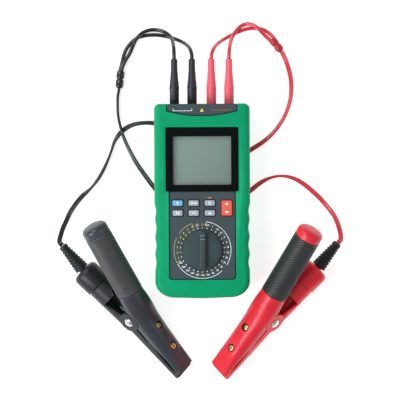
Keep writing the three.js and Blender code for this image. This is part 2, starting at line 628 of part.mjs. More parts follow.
// A copper bar along each jaw, with a toothed block where the tips meet.
function contact(outline, toothHeight) {
  const shape = new THREE.Shape(outline.map(([u, w]) => new THREE.Vector2(u, w)));
  const notches = [0, 1, 2, 3].map((k) =>
    block(62 + 2 * k, 63 + 2 * k, -6, 6, toothHeight - 0.6, toothHeight + 0.6));
  return cut(across(shape, CONTACT.halfWidth), ...notches);
}
const UPPER_CONTACT = [[13, 9.2], [13, 7.4], [56, 7.4], [60, 4.9], [70, 4.9], [70, 9.2]];
const LOWER_CONTACT = [[14, -1], [14, -3], [48, -2.8], [58, -0.9], [70, -0.9], [70, 4.3], [60, 4.3],
  [54, -0.8]];

function contactScrew({ u, w }) {
  return cut(
    turned([[0, CONTACT.seat + 0.4 - w], [1.2, CONTACT.seat + 0.4 - w], [1.2, 0.3], [2.7, 0.3],
      [2.7, 1.3], [1.6, 2], [0, 2]], [u, 0, w], [0, 0, 1], 10),
    block(u - 2, u + 2, -0.4, 0.4, w + 1.2, w + 3),
  );
}

// ---------------------------------------------------------------- assembly
const root = new THREE.Group();

function place(name, solid, material, parent = root) {
  const mesh = new THREE.Mesh(toGeometry(solid), material);
  mesh.name = name;
  parent.add(mesh);
}

place("boot", boot(), MATERIAL.boot);
place("front_case", frontCase(), MATERIAL.case);
place("rear_case", rearCase(), MATERIAL.case);
place("display_bezel", bezel(), MATERIAL.gloss);
place("display_lens", block(-WINDOW.halfWidth + GAP, WINDOW.halfWidth - GAP, WINDOW.bottom + GAP,
  WINDOW.top - GAP, 45.2, 46.2), MATERIAL.glass);
place("lcd_panel", block(-32, 32, 11.5, 68, 39.5, 42), MATERIAL.lcd);
place("main_board", block(-38, 38, -81, 66, 34, 35.6), MATERIAL.circuit);
place("keypad_mat", block(-33, 33, -19, 5.6, 36.8, 39.8), MATERIAL.rubber);
["key_light", "key_mode", "key_zero", "key_hold", "key_range", "key_unit"].forEach((name, k) =>
  place(name, key(...keyPlaces[k], KEY.size), k ? MATERIAL.key : MATERIAL.keyBlue));
place("key_up_down", key(ROCKER.x, ROCKER.y, ROCKER.size, 41.4), MATERIAL.keyRed);
place("selector_knob", knob(), MATERIAL.knob);
place("selector_rotor", selectorRotor(), MATERIAL.circuit);
place("battery_door", batteryDoor(), MATERIAL.case);
place("battery_pack", batteryPack(), MATERIAL.black);
place("jack_block", jackBlock(), MATERIAL.black);
place("tilt_stand", tiltStand(), MATERIAL.case);
place("door_screw", doorScrew(), MATERIAL.steel);

for (const side of ["black", "red"]) {
  const shell = MATERIAL[side];
  const slots = side === "black" ? { a: -JACK.outside, b: -JACK.inside }
    : { a: JACK.inside, b: JACK.outside };
  for (const [letter, x] of Object.entries(slots)) {
    place(`${side}_plug_${letter}`, plug(x), shell);
    place(`${side}_pin_${letter}`, plugPin(x), MATERIAL.brass);
    const wire = `${side}_wire_${letter}`;
    place(wire, cord(WIRES[wire], roundSection(WIRE / 2, 8), 8), shell);
  }
  place(`${side}_splitter`, splitter(SPLITTERS[side]), shell);

  // The clamp lies rolled on its side, its collar and the tip of its lower jaw on the table.
  const { pivot, heading, side: beside, ...turn } = PLACES[side];
  const level = new THREE.Vector3(...heading, 0).normalize();
  const outward = new THREE.Vector3(...beside, 0).normalize();
  const up = new THREE.Vector3(0, 0, 1);
  const pitch = turn.pitch * degrees, roll = turn.roll * degrees;
  const uWay = level.clone().multiplyScalar(Math.cos(pitch)).addScaledVector(up, -Math.sin(pitch));
  const crown = level.clone().multiplyScalar(Math.sin(pitch)).addScaledVector(up, Math.cos(pitch));
  const wWay = outward.clone().multiplyScalar(Math.sin(roll)).addScaledVector(crown, Math.cos(roll));
  const vWay = wWay.clone().cross(uWay);
  const clamp = new THREE.Group();
  clamp.applyMatrix4(new THREE.Matrix4().makeBasis(uWay, vWay, wWay));
  clamp.position.set(...pivot);
  root.add(clamp);
  place(`${side}_upper_jaw`, upperJaw(), shell, clamp);
  place(`${side}_lower_jaw`, lowerJaw(), shell, clamp);
  place(`${side}_handle_cap`, handleCap(), shell, clamp);
  place(`${side}_grip`, grip(), MATERIAL.rubber, clamp);
  place(`${side}_strain_relief`, strainRelief(), MATERIAL.black, clamp);
  place(`${side}_pivot_pin`, pivotPin(), MATERIAL.steel, clamp);
  place(`${side}_spring`, spring(), MATERIAL.steel, clamp);
  place(`${side}_upper_contact`, contact(UPPER_CONTACT, 4.9), MATERIAL.copper, clamp);
  place(`${side}_lower_contact`, contact(LOWER_CONTACT, 4.3), MATERIAL.copper, clamp);
  SCREWS.forEach((screw) =>
    place(`${side}_screw_${screw.name}`, contactScrew(screw), MATERIAL.brass, clamp));

  // The cable leaves the strain relief along its axis.
  clamp.updateMatrixWorld(true);
  const mouth = [4.5, 0.5].map((distance) =>
    new THREE.Vector3(...onBarrel(BARREL.end))
      .addScaledVector(new THREE.Vector3(...reliefWay).normalize(), RELIEF.length + distance)
      .applyMatrix4(clamp.matrixWorld).toArray());
  place(`${side}_twin_cable`, cord([...TWINS[side], ...mouth], twinSection(), 15), shell);
}

export default root;
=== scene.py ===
"""Looks for the handheld cable-length meter and its two Kelvin clamp leads.

Sizes are in millimetres in the tables below and turned into metres when a mesh is made.
"""

import json
from math import copysign, cos, dist, pi, radians, sin

import bmesh
import bpy
from mathutils import Matrix, Vector

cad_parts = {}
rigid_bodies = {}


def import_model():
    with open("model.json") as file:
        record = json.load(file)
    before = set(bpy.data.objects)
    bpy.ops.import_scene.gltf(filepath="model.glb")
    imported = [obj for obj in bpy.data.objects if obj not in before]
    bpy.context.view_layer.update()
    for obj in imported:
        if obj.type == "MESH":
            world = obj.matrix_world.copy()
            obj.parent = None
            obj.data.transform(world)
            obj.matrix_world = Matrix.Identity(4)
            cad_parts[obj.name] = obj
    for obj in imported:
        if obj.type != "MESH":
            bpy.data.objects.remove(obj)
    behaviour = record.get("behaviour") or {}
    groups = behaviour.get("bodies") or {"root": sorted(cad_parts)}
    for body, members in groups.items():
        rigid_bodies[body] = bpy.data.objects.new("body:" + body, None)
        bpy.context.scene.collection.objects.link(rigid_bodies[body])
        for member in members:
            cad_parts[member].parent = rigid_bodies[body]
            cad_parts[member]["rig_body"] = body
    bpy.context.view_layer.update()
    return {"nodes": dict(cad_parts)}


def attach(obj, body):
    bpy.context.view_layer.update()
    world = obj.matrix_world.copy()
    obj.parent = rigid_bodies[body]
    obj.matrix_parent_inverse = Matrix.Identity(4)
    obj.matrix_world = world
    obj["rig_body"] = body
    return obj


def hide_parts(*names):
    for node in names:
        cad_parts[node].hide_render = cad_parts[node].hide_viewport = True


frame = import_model()
NODES = frame["nodes"]
MM = 0.001
UP = (0, 0, 1)
ALONG_PIN = (0, 1, 0)
CORE = 0.1  # innermost radius of a lathed profile
CUT, ADD, KEEP = "DIFFERENCE", "UNION", "INTERSECT"

# Underside and top of printed pieces; text has one level because it is thickened both ways.
PANEL_INK = (46.62, 46.7)
DIAL_INK = (46.62, 46.69)
SURROUND_INK = (46.62, 46.72)
KEY_INK = (47.93, 47.98)
TEXT_LEVEL = 46.64

# ---------- camera, light and floor
scene = bpy.context.scene
scene.view_settings.view_transform = "Standard"
scene.view_settings.look = "None"


def put(node, values):
    """Set the sockets of a node that are not linked."""
    for name, value in values.items():
        node.inputs[name].default_value = value


def add_camera():
    data = bpy.data.cameras.new("photo_camera")
    data.lens = 115
    data.sensor_width = 36
    data.clip_end = 30
    camera = bpy.data.objects.new("photo_camera", data)
    camera.location = (-0.0022, 0.001, 1.3)
    camera.rotation_euler = (0, 0, radians(-0.3))
    scene.collection.objects.link(camera)
    scene.camera = camera


def add_area(name, location, target, size, power, color=(1, 1, 1)):
    data = bpy.data.lights.new(name, "AREA")
    data.shape = "RECTANGLE"
    data.size, data.size_y = size
    data.energy = power
    data.color = color
    lamp = bpy.data.objects.new(name, data)
    lamp.location = location
    lamp.rotation_euler = (Vector(target) - Vector(location)).to_track_quat("-Z", "Y").to_euler()
    scene.collection.objects.link(lamp)


def add_world(strength):
    world = bpy.data.worlds.new("studio")
    world.use_nodes = True
    put(world.node_tree.nodes["Background"], {"Color": (1, 1, 1, 1), "Strength": strength})
    scene.world = world


add_camera()
add_world(0.37)
add_area("key_light_box", (-0.75, 0.75, 1.15), (0, 0, 0), (0.8, 0.8), 9)
add_area("fill_light_box", (0.95, 0.1, 1.0), (0, -0.02, 0), (0.7, 0.9), 1.2)
add_area("strip_light_box", (-0.85, -0.45, 0.85), (-0.02, -0.1, 0.02), (0.5, 0.8), 9,
         (0.92, 0.96, 1))

# ---------- materials


def node_tree(name):
    material = bpy.data.materials.new(name)
    material.use_nodes = True
    nodes = material.node_tree.nodes
    return material, nodes, material.node_tree.links, nodes["Principled BSDF"]


def noise(nodes, links, source, scale, detail=4):
    texture = nodes.new("ShaderNodeTexNoise")
    put(texture, {"Scale": scale, "Detail": detail})
    links.new(source, texture.inputs["Vector"])
    return texture.outputs["Fac"]


def ranged(nodes, links, value, low, high, start=0.3, end=0.7):
    node = nodes.new("ShaderNodeMapRange")
    put(node, {"From Min": start, "From Max": end, "To Min": low, "To Max": high})
    links.new(value, node.inputs["Value"])
    return node.outputs["Result"]


def mixed(nodes, links, factor, first, second):
    """A colour that runs from first to second as factor goes from 0 to 1."""
    node = nodes.new("ShaderNodeValToRGB")
    node.color_ramp.elements[0].color = (*first, 1)
    node.color_ramp.elements[1].color = (*second, 1)
    links.new(factor, node.inputs["Fac"])
    return node.outputs["Color"]


GRAIN_DEPTH = 0.00004
COAT_ROUGHNESS = 0.15
WORN_EDGE = (0.52, 0.6)  # pointiness from which an edge is worn, and fully worn


def surface(name, color, rough, vary=0.08, patch=60, grain=2500, bump=0.08, metallic=0.0,
            coat=0.0, specular=0.5, wear=0.0):
    """A moulded or metal surface: mottled colour, uneven gloss and a fine grain."""
    material, nodes, links, shader = node_tree(name)
    position = nodes.new("ShaderNodeTexCoord").outputs["Object"]
    mottled = ranged(nodes, links, noise(nodes, links, position, patch), 0, 1)
    dark = [c * (1 - vary) for c in color]
    light = [min(1, c * (1 + vary)) for c in color]
    tint = mixed(nodes, links, mottled, dark, light)
    if wear:
        edge = nodes.new("ShaderNodeNewGeometry").outputs["Pointiness"]
        edge = ranged(nodes, links, edge, 0, wear, *WORN_EDGE)
        blend = nodes.new("ShaderNodeMix")
        blend.data_type = "RGBA"
        links.new(edge, blend.inputs["Factor"])
        links.new(tint, blend.inputs["A"])
        blend.inputs["B"].default_value = (*[min(1, c * 1.6 + 0.03) for c in color], 1)
        tint = blend.outputs["Result"]
    links.new(tint, shader.inputs["Base Color"])
    fine = noise(nodes, links, position, grain, 3)
    links.new(ranged(nodes, links, fine, max(0.02, rough - 0.06), rough + 0.06),
              shader.inputs["Roughness"])
    put(shader, {"Metallic": metallic, "Coat Weight": coat, "Coat Roughness": COAT_ROUGHNESS,
                 "Specular IOR Level": specular})
    relief = nodes.new("ShaderNodeBump")
    put(relief, {"Strength": bump, "Distance": GRAIN_DEPTH})
    links.new(fine, relief.inputs["Height"])
    links.new(relief.outputs["Normal"], shader.inputs["Normal"])
    return material


def window_material():
    material, nodes, links, shader = node_tree("window_clear")
    position = nodes.new("ShaderNodeTexCoord").outputs["Object"]
    smudge = noise(nodes, links, position, 90)
    links.new(ranged(nodes, links, smudge, 0.03, 0.12), shader.inputs["Roughness"])
    put(shader, {"Base Color": (0.9, 0.95, 0.94, 1), "Alpha": 0.06})
    return material


def lcd_material():
    """Grey-green reflective display with painted shade: a little darker towards its lower right.
    """
    material, nodes, links, shader = node_tree("lcd_face_with_painted_shade")
    position = nodes.new("ShaderNodeTexCoord").outputs["Object"]
    parts = nodes.new("ShaderNodeSeparateXYZ")
    links.new(position, parts.inputs["Vector"])
    across = nodes.new("ShaderNodeMath")
    across.operation = "SUBTRACT"
    links.new(parts.outputs["X"], across.inputs[0])
    links.new(parts.outputs["Y"], across.inputs[1])
    # painted shade: the display's colour darkens towards its lower right
    slope = ranged(nodes, links, across.outputs["Value"], 0, 1, -0.09, 0.02)
    tint = mixed(nodes, links, slope, (0.175, 0.295, 0.25), (0.11, 0.185, 0.14))
    links.new(tint, shader.inputs["Base Color"])
    haze = noise(nodes, links, position, 700)
    links.new(ranged(nodes, links, haze, 0.32, 0.42), shader.inputs["Roughness"])
    return material


GRIP_RUBBER = {"vary": 0.12, "patch": 120, "bump": 0.25, "wear": 0.5}
BLACK_SHELL = {"vary": 0.1, "patch": 40, "bump": 0.1, "wear": 0.4, "specular": 0.4}
RED_SHELL = {"vary": 0.06, "patch": 40, "bump": 0.08, "wear": 0.2, "coat": 0.15, "specular": 0.4}
INKS = {"white_ink": (0.95, 0.96, 0.96), "yellow_ink": (0.88, 0.74, 0.12),
        "cream_ink": (0.5, 0.46, 0.26), "orange_ink": (0.85, 0.38, 0.03),
        "red_ink": (0.45, 0.1, 0.07)}
SURFACES = {
    "boot": surface("boot_rubber", (0.002, 0.36, 0.155), 0.45, vary=0.05, bump=0.1, wear=0.35,
                    specular=0.12),
    "case": surface("case_plastic", (0.06, 0.086, 0.092), 0.55, vary=0.05, bump=0.22,
                    specular=0.2),
    "gloss": surface("bezel_gloss", (0.002, 0.003, 0.004), 0.16, vary=0.2, bump=0.02,
                     specular=0.15),
    "board": surface("board_laminate", (0.02, 0.12, 0.05), 0.45, vary=0.2, patch=300),
    "battery": surface("battery_wrap", (0.06, 0.065, 0.07), 0.35),
    "socket": surface("socket_plastic", (0.018, 0.019, 0.022), 0.4),
    "stand": surface("stand_plastic", (0.06, 0.08, 0.085), 0.5, bump=0.25),
    "knob": surface("knob_plastic", (0.036, 0.059, 0.064), 0.46, vary=0.05, bump=0.2, wear=0.25,
                    specular=0.3),
    "key_grey": surface("key_grey_plastic", (0.39, 0.45, 0.52), 0.45, vary=0.05, patch=300),
    "key_blue": surface("key_blue_plastic", (0.18, 0.5, 0.82), 0.42, vary=0.05, patch=300),
    "key_red": surface("key_red_plastic", (0.86, 0.145, 0.1), 0.42, vary=0.04, patch=300),
    "key_frame": surface("key_frame_ink", (0.013, 0.018, 0.03), 0.45),
    "key_frame_red": surface("key_frame_red_ink", (0.17, 0.012, 0.012), 0.45),
    "steel": surface("steel_bright", (0.66, 0.66, 0.67), 0.24, metallic=1, vary=0.1, patch=500,
                     grain=4000, bump=0.1),
    "spring": surface("spring_steel", (0.16, 0.16, 0.17), 0.4, metallic=1, vary=0.1, patch=500),
    "brass": surface("brass_bright", (0.66, 0.43, 0.2), 0.3, metallic=1, vary=0.15, patch=600),
    "copper": surface("copper_bare", (0.62, 0.3, 0.16), 0.35, metallic=1, vary=0.2, patch=300),
    "mat": surface("mat_rubber", (0.045, 0.05, 0.055), 0.7),
    # Both grips are the same black rubber: the black clamp's grip is lighter as painted light, the
    # red clamp's darker as painted shade.
    "black_grip": surface("black_grip_rubber_painted_light", (0.058, 0.06, 0.063), 0.42, **GRIP_RUBBER),
    "red_grip": surface("red_grip_rubber_painted_shade", (0.022, 0.024, 0.026), 0.42, **GRIP_RUBBER),
    "relief": surface("relief_rubber", (0.011, 0.012, 0.014), 0.45, vary=0.1, wear=0.4,
                      specular=0.4),
    # Black plastic like the barrel below, lightened and tinted blue as painted light.
    "black_clamp": surface("black_clamp_plastic_painted_light", (0.03, 0.035, 0.044), 0.33, coat=0.25,
                           **BLACK_SHELL),
    "black_barrel": surface("black_barrel_plastic", (0.011, 0.012, 0.015), 0.38, **BLACK_SHELL),
    "red_barrel": surface("red_barrel_plastic", (0.84, 0.014, 0.032), 0.38, **RED_SHELL),
    "red_clamp": surface("red_clamp_plastic", (0.78, 0.016, 0.034), 0.36, **RED_SHELL),
    "black_plug": surface("black_plug_plastic", (0.022, 0.022, 0.03), 0.42),
    "red_plug": surface("red_plug_plastic", (1.0, 0.13, 0.18), 0.42, vary=0.05),
    "black_cable": surface("black_cable_sheath", (0.005, 0.005, 0.006), 0.28, vary=0.1, coat=0.4),
    "red_cable": surface("red_cable_sheath", (0.76, 0.028, 0.055), 0.26, vary=0.06, coat=0.6),
    "black_splitter": surface("black_splitter_plastic", (0.006, 0.006, 0.007), 0.25, vary=0.1,
                              coat=0.4),
    "red_splitter": surface("red_splitter_plastic", (0.52, 0.012, 0.03), 0.3, vary=0.06, coat=0.3),
    "window": window_material(),
    "lcd": lcd_material(),
    "knob_mark": surface("knob_mark_ink", (0.3, 0.35, 0.35), 0.5, vary=0.05),
}
for name, color in INKS.items():
    SURFACES[name] = surface(name, color, 0.5, vary=0.03)

# ---------- mesh helpers


def raw_mesh(name, points, faces):
    mesh = bpy.data.meshes.new(name)
    mesh.from_pydata([Vector(p) * MM for p in points], [], faces)
    return mesh


def rework(mesh, weld=0.0, flat=0.0):
    """Weld points within a distance; then merge faces that are flat or turn them outwards."""
    work = bmesh.new()
    work.from_mesh(mesh)
    if weld:
        bmesh.ops.remove_doubles(work, verts=work.verts, dist=weld)
    if flat:
        bmesh.ops.dissolve_limit(work, angle_limit=radians(flat), verts=work.verts,
                                 edges=work.edges)
    else:
        bmesh.ops.recalc_face_normals(work, faces=work.faces)
    work.to_mesh(mesh)
    work.free()
    return mesh


def evaluated_mesh(piece):
    bpy.context.view_layer.update()
    evaluated = piece.evaluated_get(bpy.context.evaluated_depsgraph_get())
    return bpy.data.meshes.new_from_object(evaluated)


def make_piece(name, points, faces, look, body, smooth):
    """A mesh piece from points in millimetres, riding on a body."""
    mesh = raw_mesh(name, points, faces)
    mesh.validate()
    return dress(bpy.data.objects.new(name, mesh), look, body, smooth)


def dress(piece, look, body, smooth):
    """Normals, material and body of a piece. NODE_look stands in for the CAD node NODE."""
    if piece.name not in scene.collection.objects:
        scene.collection.objects.link(piece)
    mesh = rework(piece.data)
    mesh.shade_smooth()
    mesh.set_sharp_from_angle(angle=radians(smooth))
    mesh.materials.clear()
    mesh.materials.append(SURFACES[look])
    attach(piece, body)
    if piece.name.endswith("_look"):
        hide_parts(piece.name.removesuffix("_look"))
    return piece


def rings_to_faces(count, rings, closed=False):
    """Quads between rings of equal count; closed joins the last ring to the first."""
    faces = []
    for r in range(rings if closed else rings - 1):
        below, above = r * count, ((r + 1) % rings) * count
        for k in range(count):
            n = (k + 1) % count
            faces.append((below + k, below + n, above + n, above + k))
    if not closed:
        faces.append(tuple(range(count - 1, -1, -1)))
        faces.append(tuple((rings - 1) * count + k for k in range(count)))
    return faces


def solid_mesh(name, points, faces):
    mesh = rework(raw_mesh(name, points, faces), weld=1e-7)
    return bpy.data.objects.new(name, mesh)


def carve(piece, *steps):
    """Booleans in order: each step is (operation, tool object). The tools are thrown away."""
    scene.collection.objects.link(piece)
    for operation, tool in steps:
        scene.collection.objects.link(tool)
        modifier = piece.modifiers.new("cut", "BOOLEAN")
        modifier.operation = operation
        modifier.object = tool
        modifier.solver = "EXACT"
        mesh = evaluated_mesh(piece)
        piece.modifiers.clear()
        piece.data = mesh
        bpy.data.objects.remove(tool)
    return piece


def bevel(piece, width, segments=2, angle=40):
    modifier = piece.modifiers.new("edges", "BEVEL")
    modifier.width = width * MM
    modifier.segments = segments
    modifier.limit_method = "ANGLE"
    modifier.angle_limit = radians(angle)


def refined(node, look, edge, smooth):
    """A clean copy of a CAD node with welded faces, soft edges and its own material."""
    mesh = rework(NODES[node].data.copy(), weld=2e-6, flat=0.2)
    if "custom_normal" in mesh.attributes:
        mesh.attributes.remove(mesh.attributes["custom_normal"])
    piece = bpy.data.objects.new(node + "_look", mesh)
    dress(piece, look, NODES[node]["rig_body"], smooth)
    if edge:
        bevel(piece, edge)


def lathe_points(profile, start, direction, segments):
    """Rings of a [radius, distance] profile round the line from start along direction."""
    axis = Vector(direction).normalized()
    side = axis.orthogonal().normalized()
    other = axis.cross(side)
    points = []
    for radius, distance in profile:
        middle = Vector(start) + axis * distance
        for k in range(segments):
            angle = 2 * pi * k / segments
            points.append(middle + side * (radius * cos(angle))
                          + other * (radius * sin(angle)))
    return points


def lathe(name, profile, start, direction, segments, closed=False):
    points = lathe_points(profile, start, direction, segments)
    return solid_mesh(name, points, rings_to_faces(segments, len(profile), closed))


def rod(name, radius, low, high, start, direction, segments):
    """A plain cylinder between two distances from start."""
    profile = [(CORE, low), (radius, low), (radius, high), (CORE, high)]
    return lathe(name, profile, start, direction, segments)


def prism(name, outline, low, high):
    """An outline raised between two heights."""
    points = [(x, y, z) for z in (low, high) for x, y in outline]
    return solid_mesh(name, points, rings_to_faces(len(outline), 2))


def across(name, outline, half):
    """A UW outline carried half each way from the middle of a clamp."""
    points = [(u, v, w) for v in (-half, half) for u, w in outline]
    return solid_mesh(name, points, rings_to_faces(len(outline), 2))


def box_outline(x0, x1, y0, y1, radius=0.0, steps=6):
    if radius <= 0:
        return [(x0, y0), (x1, y0), (x1, y1), (x0, y1)]
    points = []
    for cx, cy, first in ((x1 - radius, y0 + radius, -90), (x1 - radius, y1 - radius, 0),
                          (x0 + radius, y1 - radius, 90), (x0 + radius, y0 + radius, 180)):
        for k in range(steps + 1):
            angle = radians(first + 90 * k / steps)
            points.append((cx + radius * cos(angle), cy + radius * sin(angle)))
    return points


def circle(x, y, radius, count=20):
    return [(x + radius * cos(2 * pi * k / count),
             y + radius * sin(2 * pi * k / count)) for k in range(count)]


def stacked(levels, outline_at):
    """Points and faces of an outline repeated at (inset, height) levels."""
    points = [(x, y, z) for inset, z in levels for x, y in outline_at(inset)]
    return points, rings_to_faces(len(points) // len(levels), len(levels))


# ---------- free cords
WIRE = 3.9
STRAND = 2.6
TWIN_PITCH = 2.4
WIRES = {
    "black_wire_a": [
        (-27.2, 141.5, 30), (-27.3, 146, 29.2), (-27.6, 152, 26), (-28.4, 158, 19.5),
        (-30, 164, 12), (-34, 169, 7.2), (-40, 172.6, 4), (-48, 174.1, 2.6), (-55, 172.9, 4),
        (-61, 169.5, 6.2), (-66, 164, 6.4), (-69.6, 157, 4.2), (-72.7, 150, 3.5),
        (-76.2, 144.2, 4.4), (-78.9, 138.8, 5.6), (-80.4, 134.6, 6), (-81, 131.2, 5.9)],
    "black_wire_b": [
        (-9.6, 141.6, 30), (-9.8, 146, 28.8), (-11, 151, 25), (-14, 156, 17.5), (-19, 160.5, 9.2),
        (-26, 164.2, 4.2), (-35, 167.2, 2.2), (-46, 168.8, 2.1), (-57, 168.2, 2.1),
        (-65, 166, 2.1), (-71, 161.4, 2.1), (-76, 155, 2.1), (-78.7, 149, 2.1),
        (-80.3, 142.4, 2.1), (-81.7, 136.6, 2.2), (-83.3, 131.4, 2.5)],
    "red_wire_a": [
        (9.6, 141.5, 30), (10.1, 146, 29.2), (11.8, 151, 26), (15, 156.5, 19), (20.4, 161.6, 11),
        (26.6, 165.8, 5.3), (33, 169.4, 2.6), (40, 172.6, 2.1), (48, 174.8, 2.1),
        (56, 175.2, 2.1), (63.4, 173.4, 2.1), (69.2, 169.6, 2.7), (73.6, 165, 4.2)],
    "red_wire_b": [
        (27.2, 141.5, 30), (27.4, 146, 29.2), (28, 152, 25.6), (29.2, 159, 17.8),
        (31.4, 165.4, 11.2), (34.8, 171.4, 7.4), (39.4, 176.6, 3.6), (45, 179.4, 2.7),
        (50.8, 178.7, 5), (56, 175.6, 6.4), (60.4, 171.4, 6.2), (65, 166.8, 4.6),
        (69.9, 162.3, 4.2)],
}
SPLITTERS = {
    "black": ((-81.9, 130.8, 4.2), (-83.6, 115, 4.2)),
    "red": ((71.9, 163, 4.2), (80.7, 151.9, 4.2)),
}
# The fourth number is how far the pair of strands stands on edge, in degrees from flat.
TWINS = {
    "black": [
        (-83.7, 114.4, 3.8, 70), (-85.1, 107, 2.8, 75), (-85.3, 98, 3.2, 78),
        (-84.8, 87, 4.4, 78), (-82.4, 75.5, 5.4, 75), (-78.6, 63.5, 5, 65), (-73.2, 51, 3.6, 50),
        (-66, 38, 2.6, 30), (-57.8, 26, 1.9, 12), (-48, 13, 1.5, 0), (-40, 5, 1.5, 0),
        (-31, 3, 1.5, 0), (-24, 9, 1.5, 0), (-20.5, 21, 1.5, 0), (-19.6, 36, 1.5, 0),
        (-20.6, 50, 1.5, 0), (-24, 63, 1.5, 0), (-30, 72.5, 1.5, 0), (-38, 77.6, 1.5, 10),
        (-48, 79.2, 2.1, 30), (-59, 79.6, 2.4, 45), (-71, 77.4, 2.1, 30), (-81.5, 71, 1.5, 10),
        (-88.4, 61.4, 2.5, 60), (-92.6, 49.6, 2.6, 84), (-98, 36.6, 2.5, 70),
        (-104.8, 24, 2.4, 60), (-113, 13.6, 2.6, 80), (-122, 5.4, 2.2, 14),
        (-128.6, -2.4, 2.1, 6), (-133.8, -10.3, 3.1, 0), (-137.4, -18.8, 6.4, 0),
        (-140.6, -26.6, 10.4, 0), (-142.5, -34, 14.5, 0)],
    "red": [
        (81, 151.5, 3.8, 35), (85.4, 142.6, 2.4, 36), (88.8, 132.4, 2.2, 38),
        (90.8, 121.8, 2.2, 40), (91, 111, 2.3, 45), (89.4, 100.4, 2.4, 52), (86, 90, 2.4, 58),
        (80.6, 79.6, 2.3, 55), (72.6, 69, 2.3, 50), (62, 59.6, 2.1, 35), (50, 52, 1.6, 10),
        (39, 45, 1.5, 0), (28.4, 37, 1.5, 0), (17.4, 28.6, 1.5, 0), (6, 22.6, 1.5, 0),
        (-4.6, 18.6, 1.5, 0), (-10, 9.6, 1.5, 0), (-6.6, -0.4, 1.5, 0), (4, -5, 1.5, 0),
        (18, -5, 1.5, 0), (31, -1.6, 1.5, 0), (41, 4, 1.5, 0), (50, 11, 1.6, 10), (59, 18, 2, 30),
        (69, 23, 2.5, 75), (80, 25, 2.6, 88), (90.4, 23.4, 2.4, 60), (100.4, 18.6, 2.2, 34),
        (110.2, 11, 2, 18), (119.6, 2.2, 2, 10), (127, -6.6, 2.6, 4), (132.2, -13.2, 4.4, 0),
        (135.8, -20.8, 8, 0), (137.9, -28, 12, 0), (138.8, -34.2, 15.8, 0)],
}

# The clamps lie rolled on their sides: U from handle to jaw tip, V along the pin, W opening.
PLACES = {
    "black": {"pivot": (-66.3, -113.2, 20.4), "heading": (0.609, -0.793), "beside": (0.793, 0.609),
              "roll": 44, "pitch": 8.7},
    "red": {"pivot": (63.6, -114.2, 21.1), "heading": (-0.609, -0.793), "beside": (-0.793, 0.609),
            "roll": 35, "pitch": 10.1},
}
HANDLE = {"from": (-18, 0, 12.5), "slope": 13.86, "length": 86, "radius": 12.9, "root": 13.2,
          "sleeve": 7, "tail": 10.9}
BARREL = {"from": (-10, 0, -9.3), "slope": 13, "start": 18, "neck": 35.5, "end": 58,
          "radius": 13.1}
EAR = {"radius": 10.6, "inner": 11.7, "outer": 14.2, "pin": 2.5}
RELIEF = {"base": 7.1, "tip": 4.3, "length": 32, "ribs": 8}


def backwards(slope):
    """The way from the pin towards the handle end, rising by slope degrees."""
    return Vector((-cos(radians(slope)), 0, sin(radians(slope))))


HANDLE_WAY = backwards(HANDLE["slope"])
BARREL_WAY = backwards(-BARREL["slope"])
RELIEF_WAY = Vector((-1, 0, -0.05)).normalized()
RELIEF_FROM = Vector(BARREL["from"]) + BARREL_WAY * BARREL["end"]


def clamp_matrix(side):
    place = PLACES[side]
    level = Vector((*place["heading"], 0)).normalized()
    outward = Vector((*place["beside"], 0)).normalized()
    up = Vector(UP)
    roll, pitch = radians(place["roll"]), radians(place["pitch"])
    u = level * cos(pitch) - up * sin(pitch)
    crown = level * sin(pitch) + up * cos(pitch)
    w = outward * sin(roll) + crown * cos(roll)
    v = w.cross(u)
    matrix = Matrix((u, v, w)).transposed().to_4x4()
    matrix.translation = Vector(place["pivot"])
    return matrix


CLAMP = {side: clamp_matrix(side) for side in PLACES}


def placed(points, side):
    return [CLAMP[side] @ Vector(p) for p in points]


def hermite(t, a, slope_a, b, slope_b):
    return ((2 * t ** 3 - 3 * t ** 2 + 1) * a + (t ** 3 - 2 * t ** 2 + t) * slope_a
            + (3 * t ** 2 - 2 * t ** 3) * b + (t ** 3 - t ** 2) * slope_b)


def smooth_route(points, per_span):
    """A centripetal Catmull-Rom curve through points of three or more numbers."""
    size = len(points[0])
    ends = [tuple(2 * a - b for a, b in zip(points[0], points[1])),
            tuple(2 * a - b for a, b in zip(points[-1], points[-2]))]
    full = [ends[0], *points, ends[1]]
    route = []
    for k in range(1, len(full) - 2):
        p = full[k - 1:k + 3]
        gap = [max(1e-4, dist(p[i][:3], p[i + 1][:3]) ** 0.5) for i in range(3)]
        for step in range(per_span):
            t = step / per_span
            value = []
            for axis in range(size):
                a, b, c, d = (q[axis] for q in p)
                m1 = (b - a) / gap[0] - (c - a) / (gap[0] + gap[1]) + (c - b) / gap[1]
                m2 = (c - b) / gap[1] - (d - b) / (gap[1] + gap[2]) + (d - c) / gap[2]
                value.append(hermite(t, b, m1 * gap[1], c, m2 * gap[1]))
            route.append(tuple(value))
    route.append(tuple(points[-1]))
    return route


def swept(node, points, section):
    """A cord's piece and path: a section of [across, upright] points; a 4th number turns it."""
    route = smooth_route(points, 5)
    middle = [Vector(p[:3]) for p in route]
    skin = []
    for k, centre in enumerate(middle):
        ahead = (middle[min(k + 1, len(middle) - 1)] - middle[max(k - 1, 0)]).normalized()
        beside = Vector(UP).cross(ahead).normalized()
        above = ahead.cross(beside)
        turn = radians(route[k][3]) if len(route[k]) > 3 else 0
        right = beside * cos(turn) + above * sin(turn)
        up = above * cos(turn) - beside * sin(turn)
        skin += [centre + right * a + up * b for a, b in section]
    side = node.split("_")[0]
    piece = make_piece(node + "_look", skin, rings_to_faces(len(section), len(middle)),
                       side + "_cable", side + "_lead", 50)
    return piece, [c * MM for c in middle], node


TWIN = []
for centre, first in ((TWIN_PITCH / 2, 0), (-TWIN_PITCH / 2, 180)):
    for degrees in (-150, -120, -90, -65, -45, -25, -8, 8, 25, 45, 65, 90, 120, 150):
        angle = radians(first + degrees)
        TWIN.append((centre + STRAND / 2 * cos(angle), STRAND / 2 * sin(angle)))

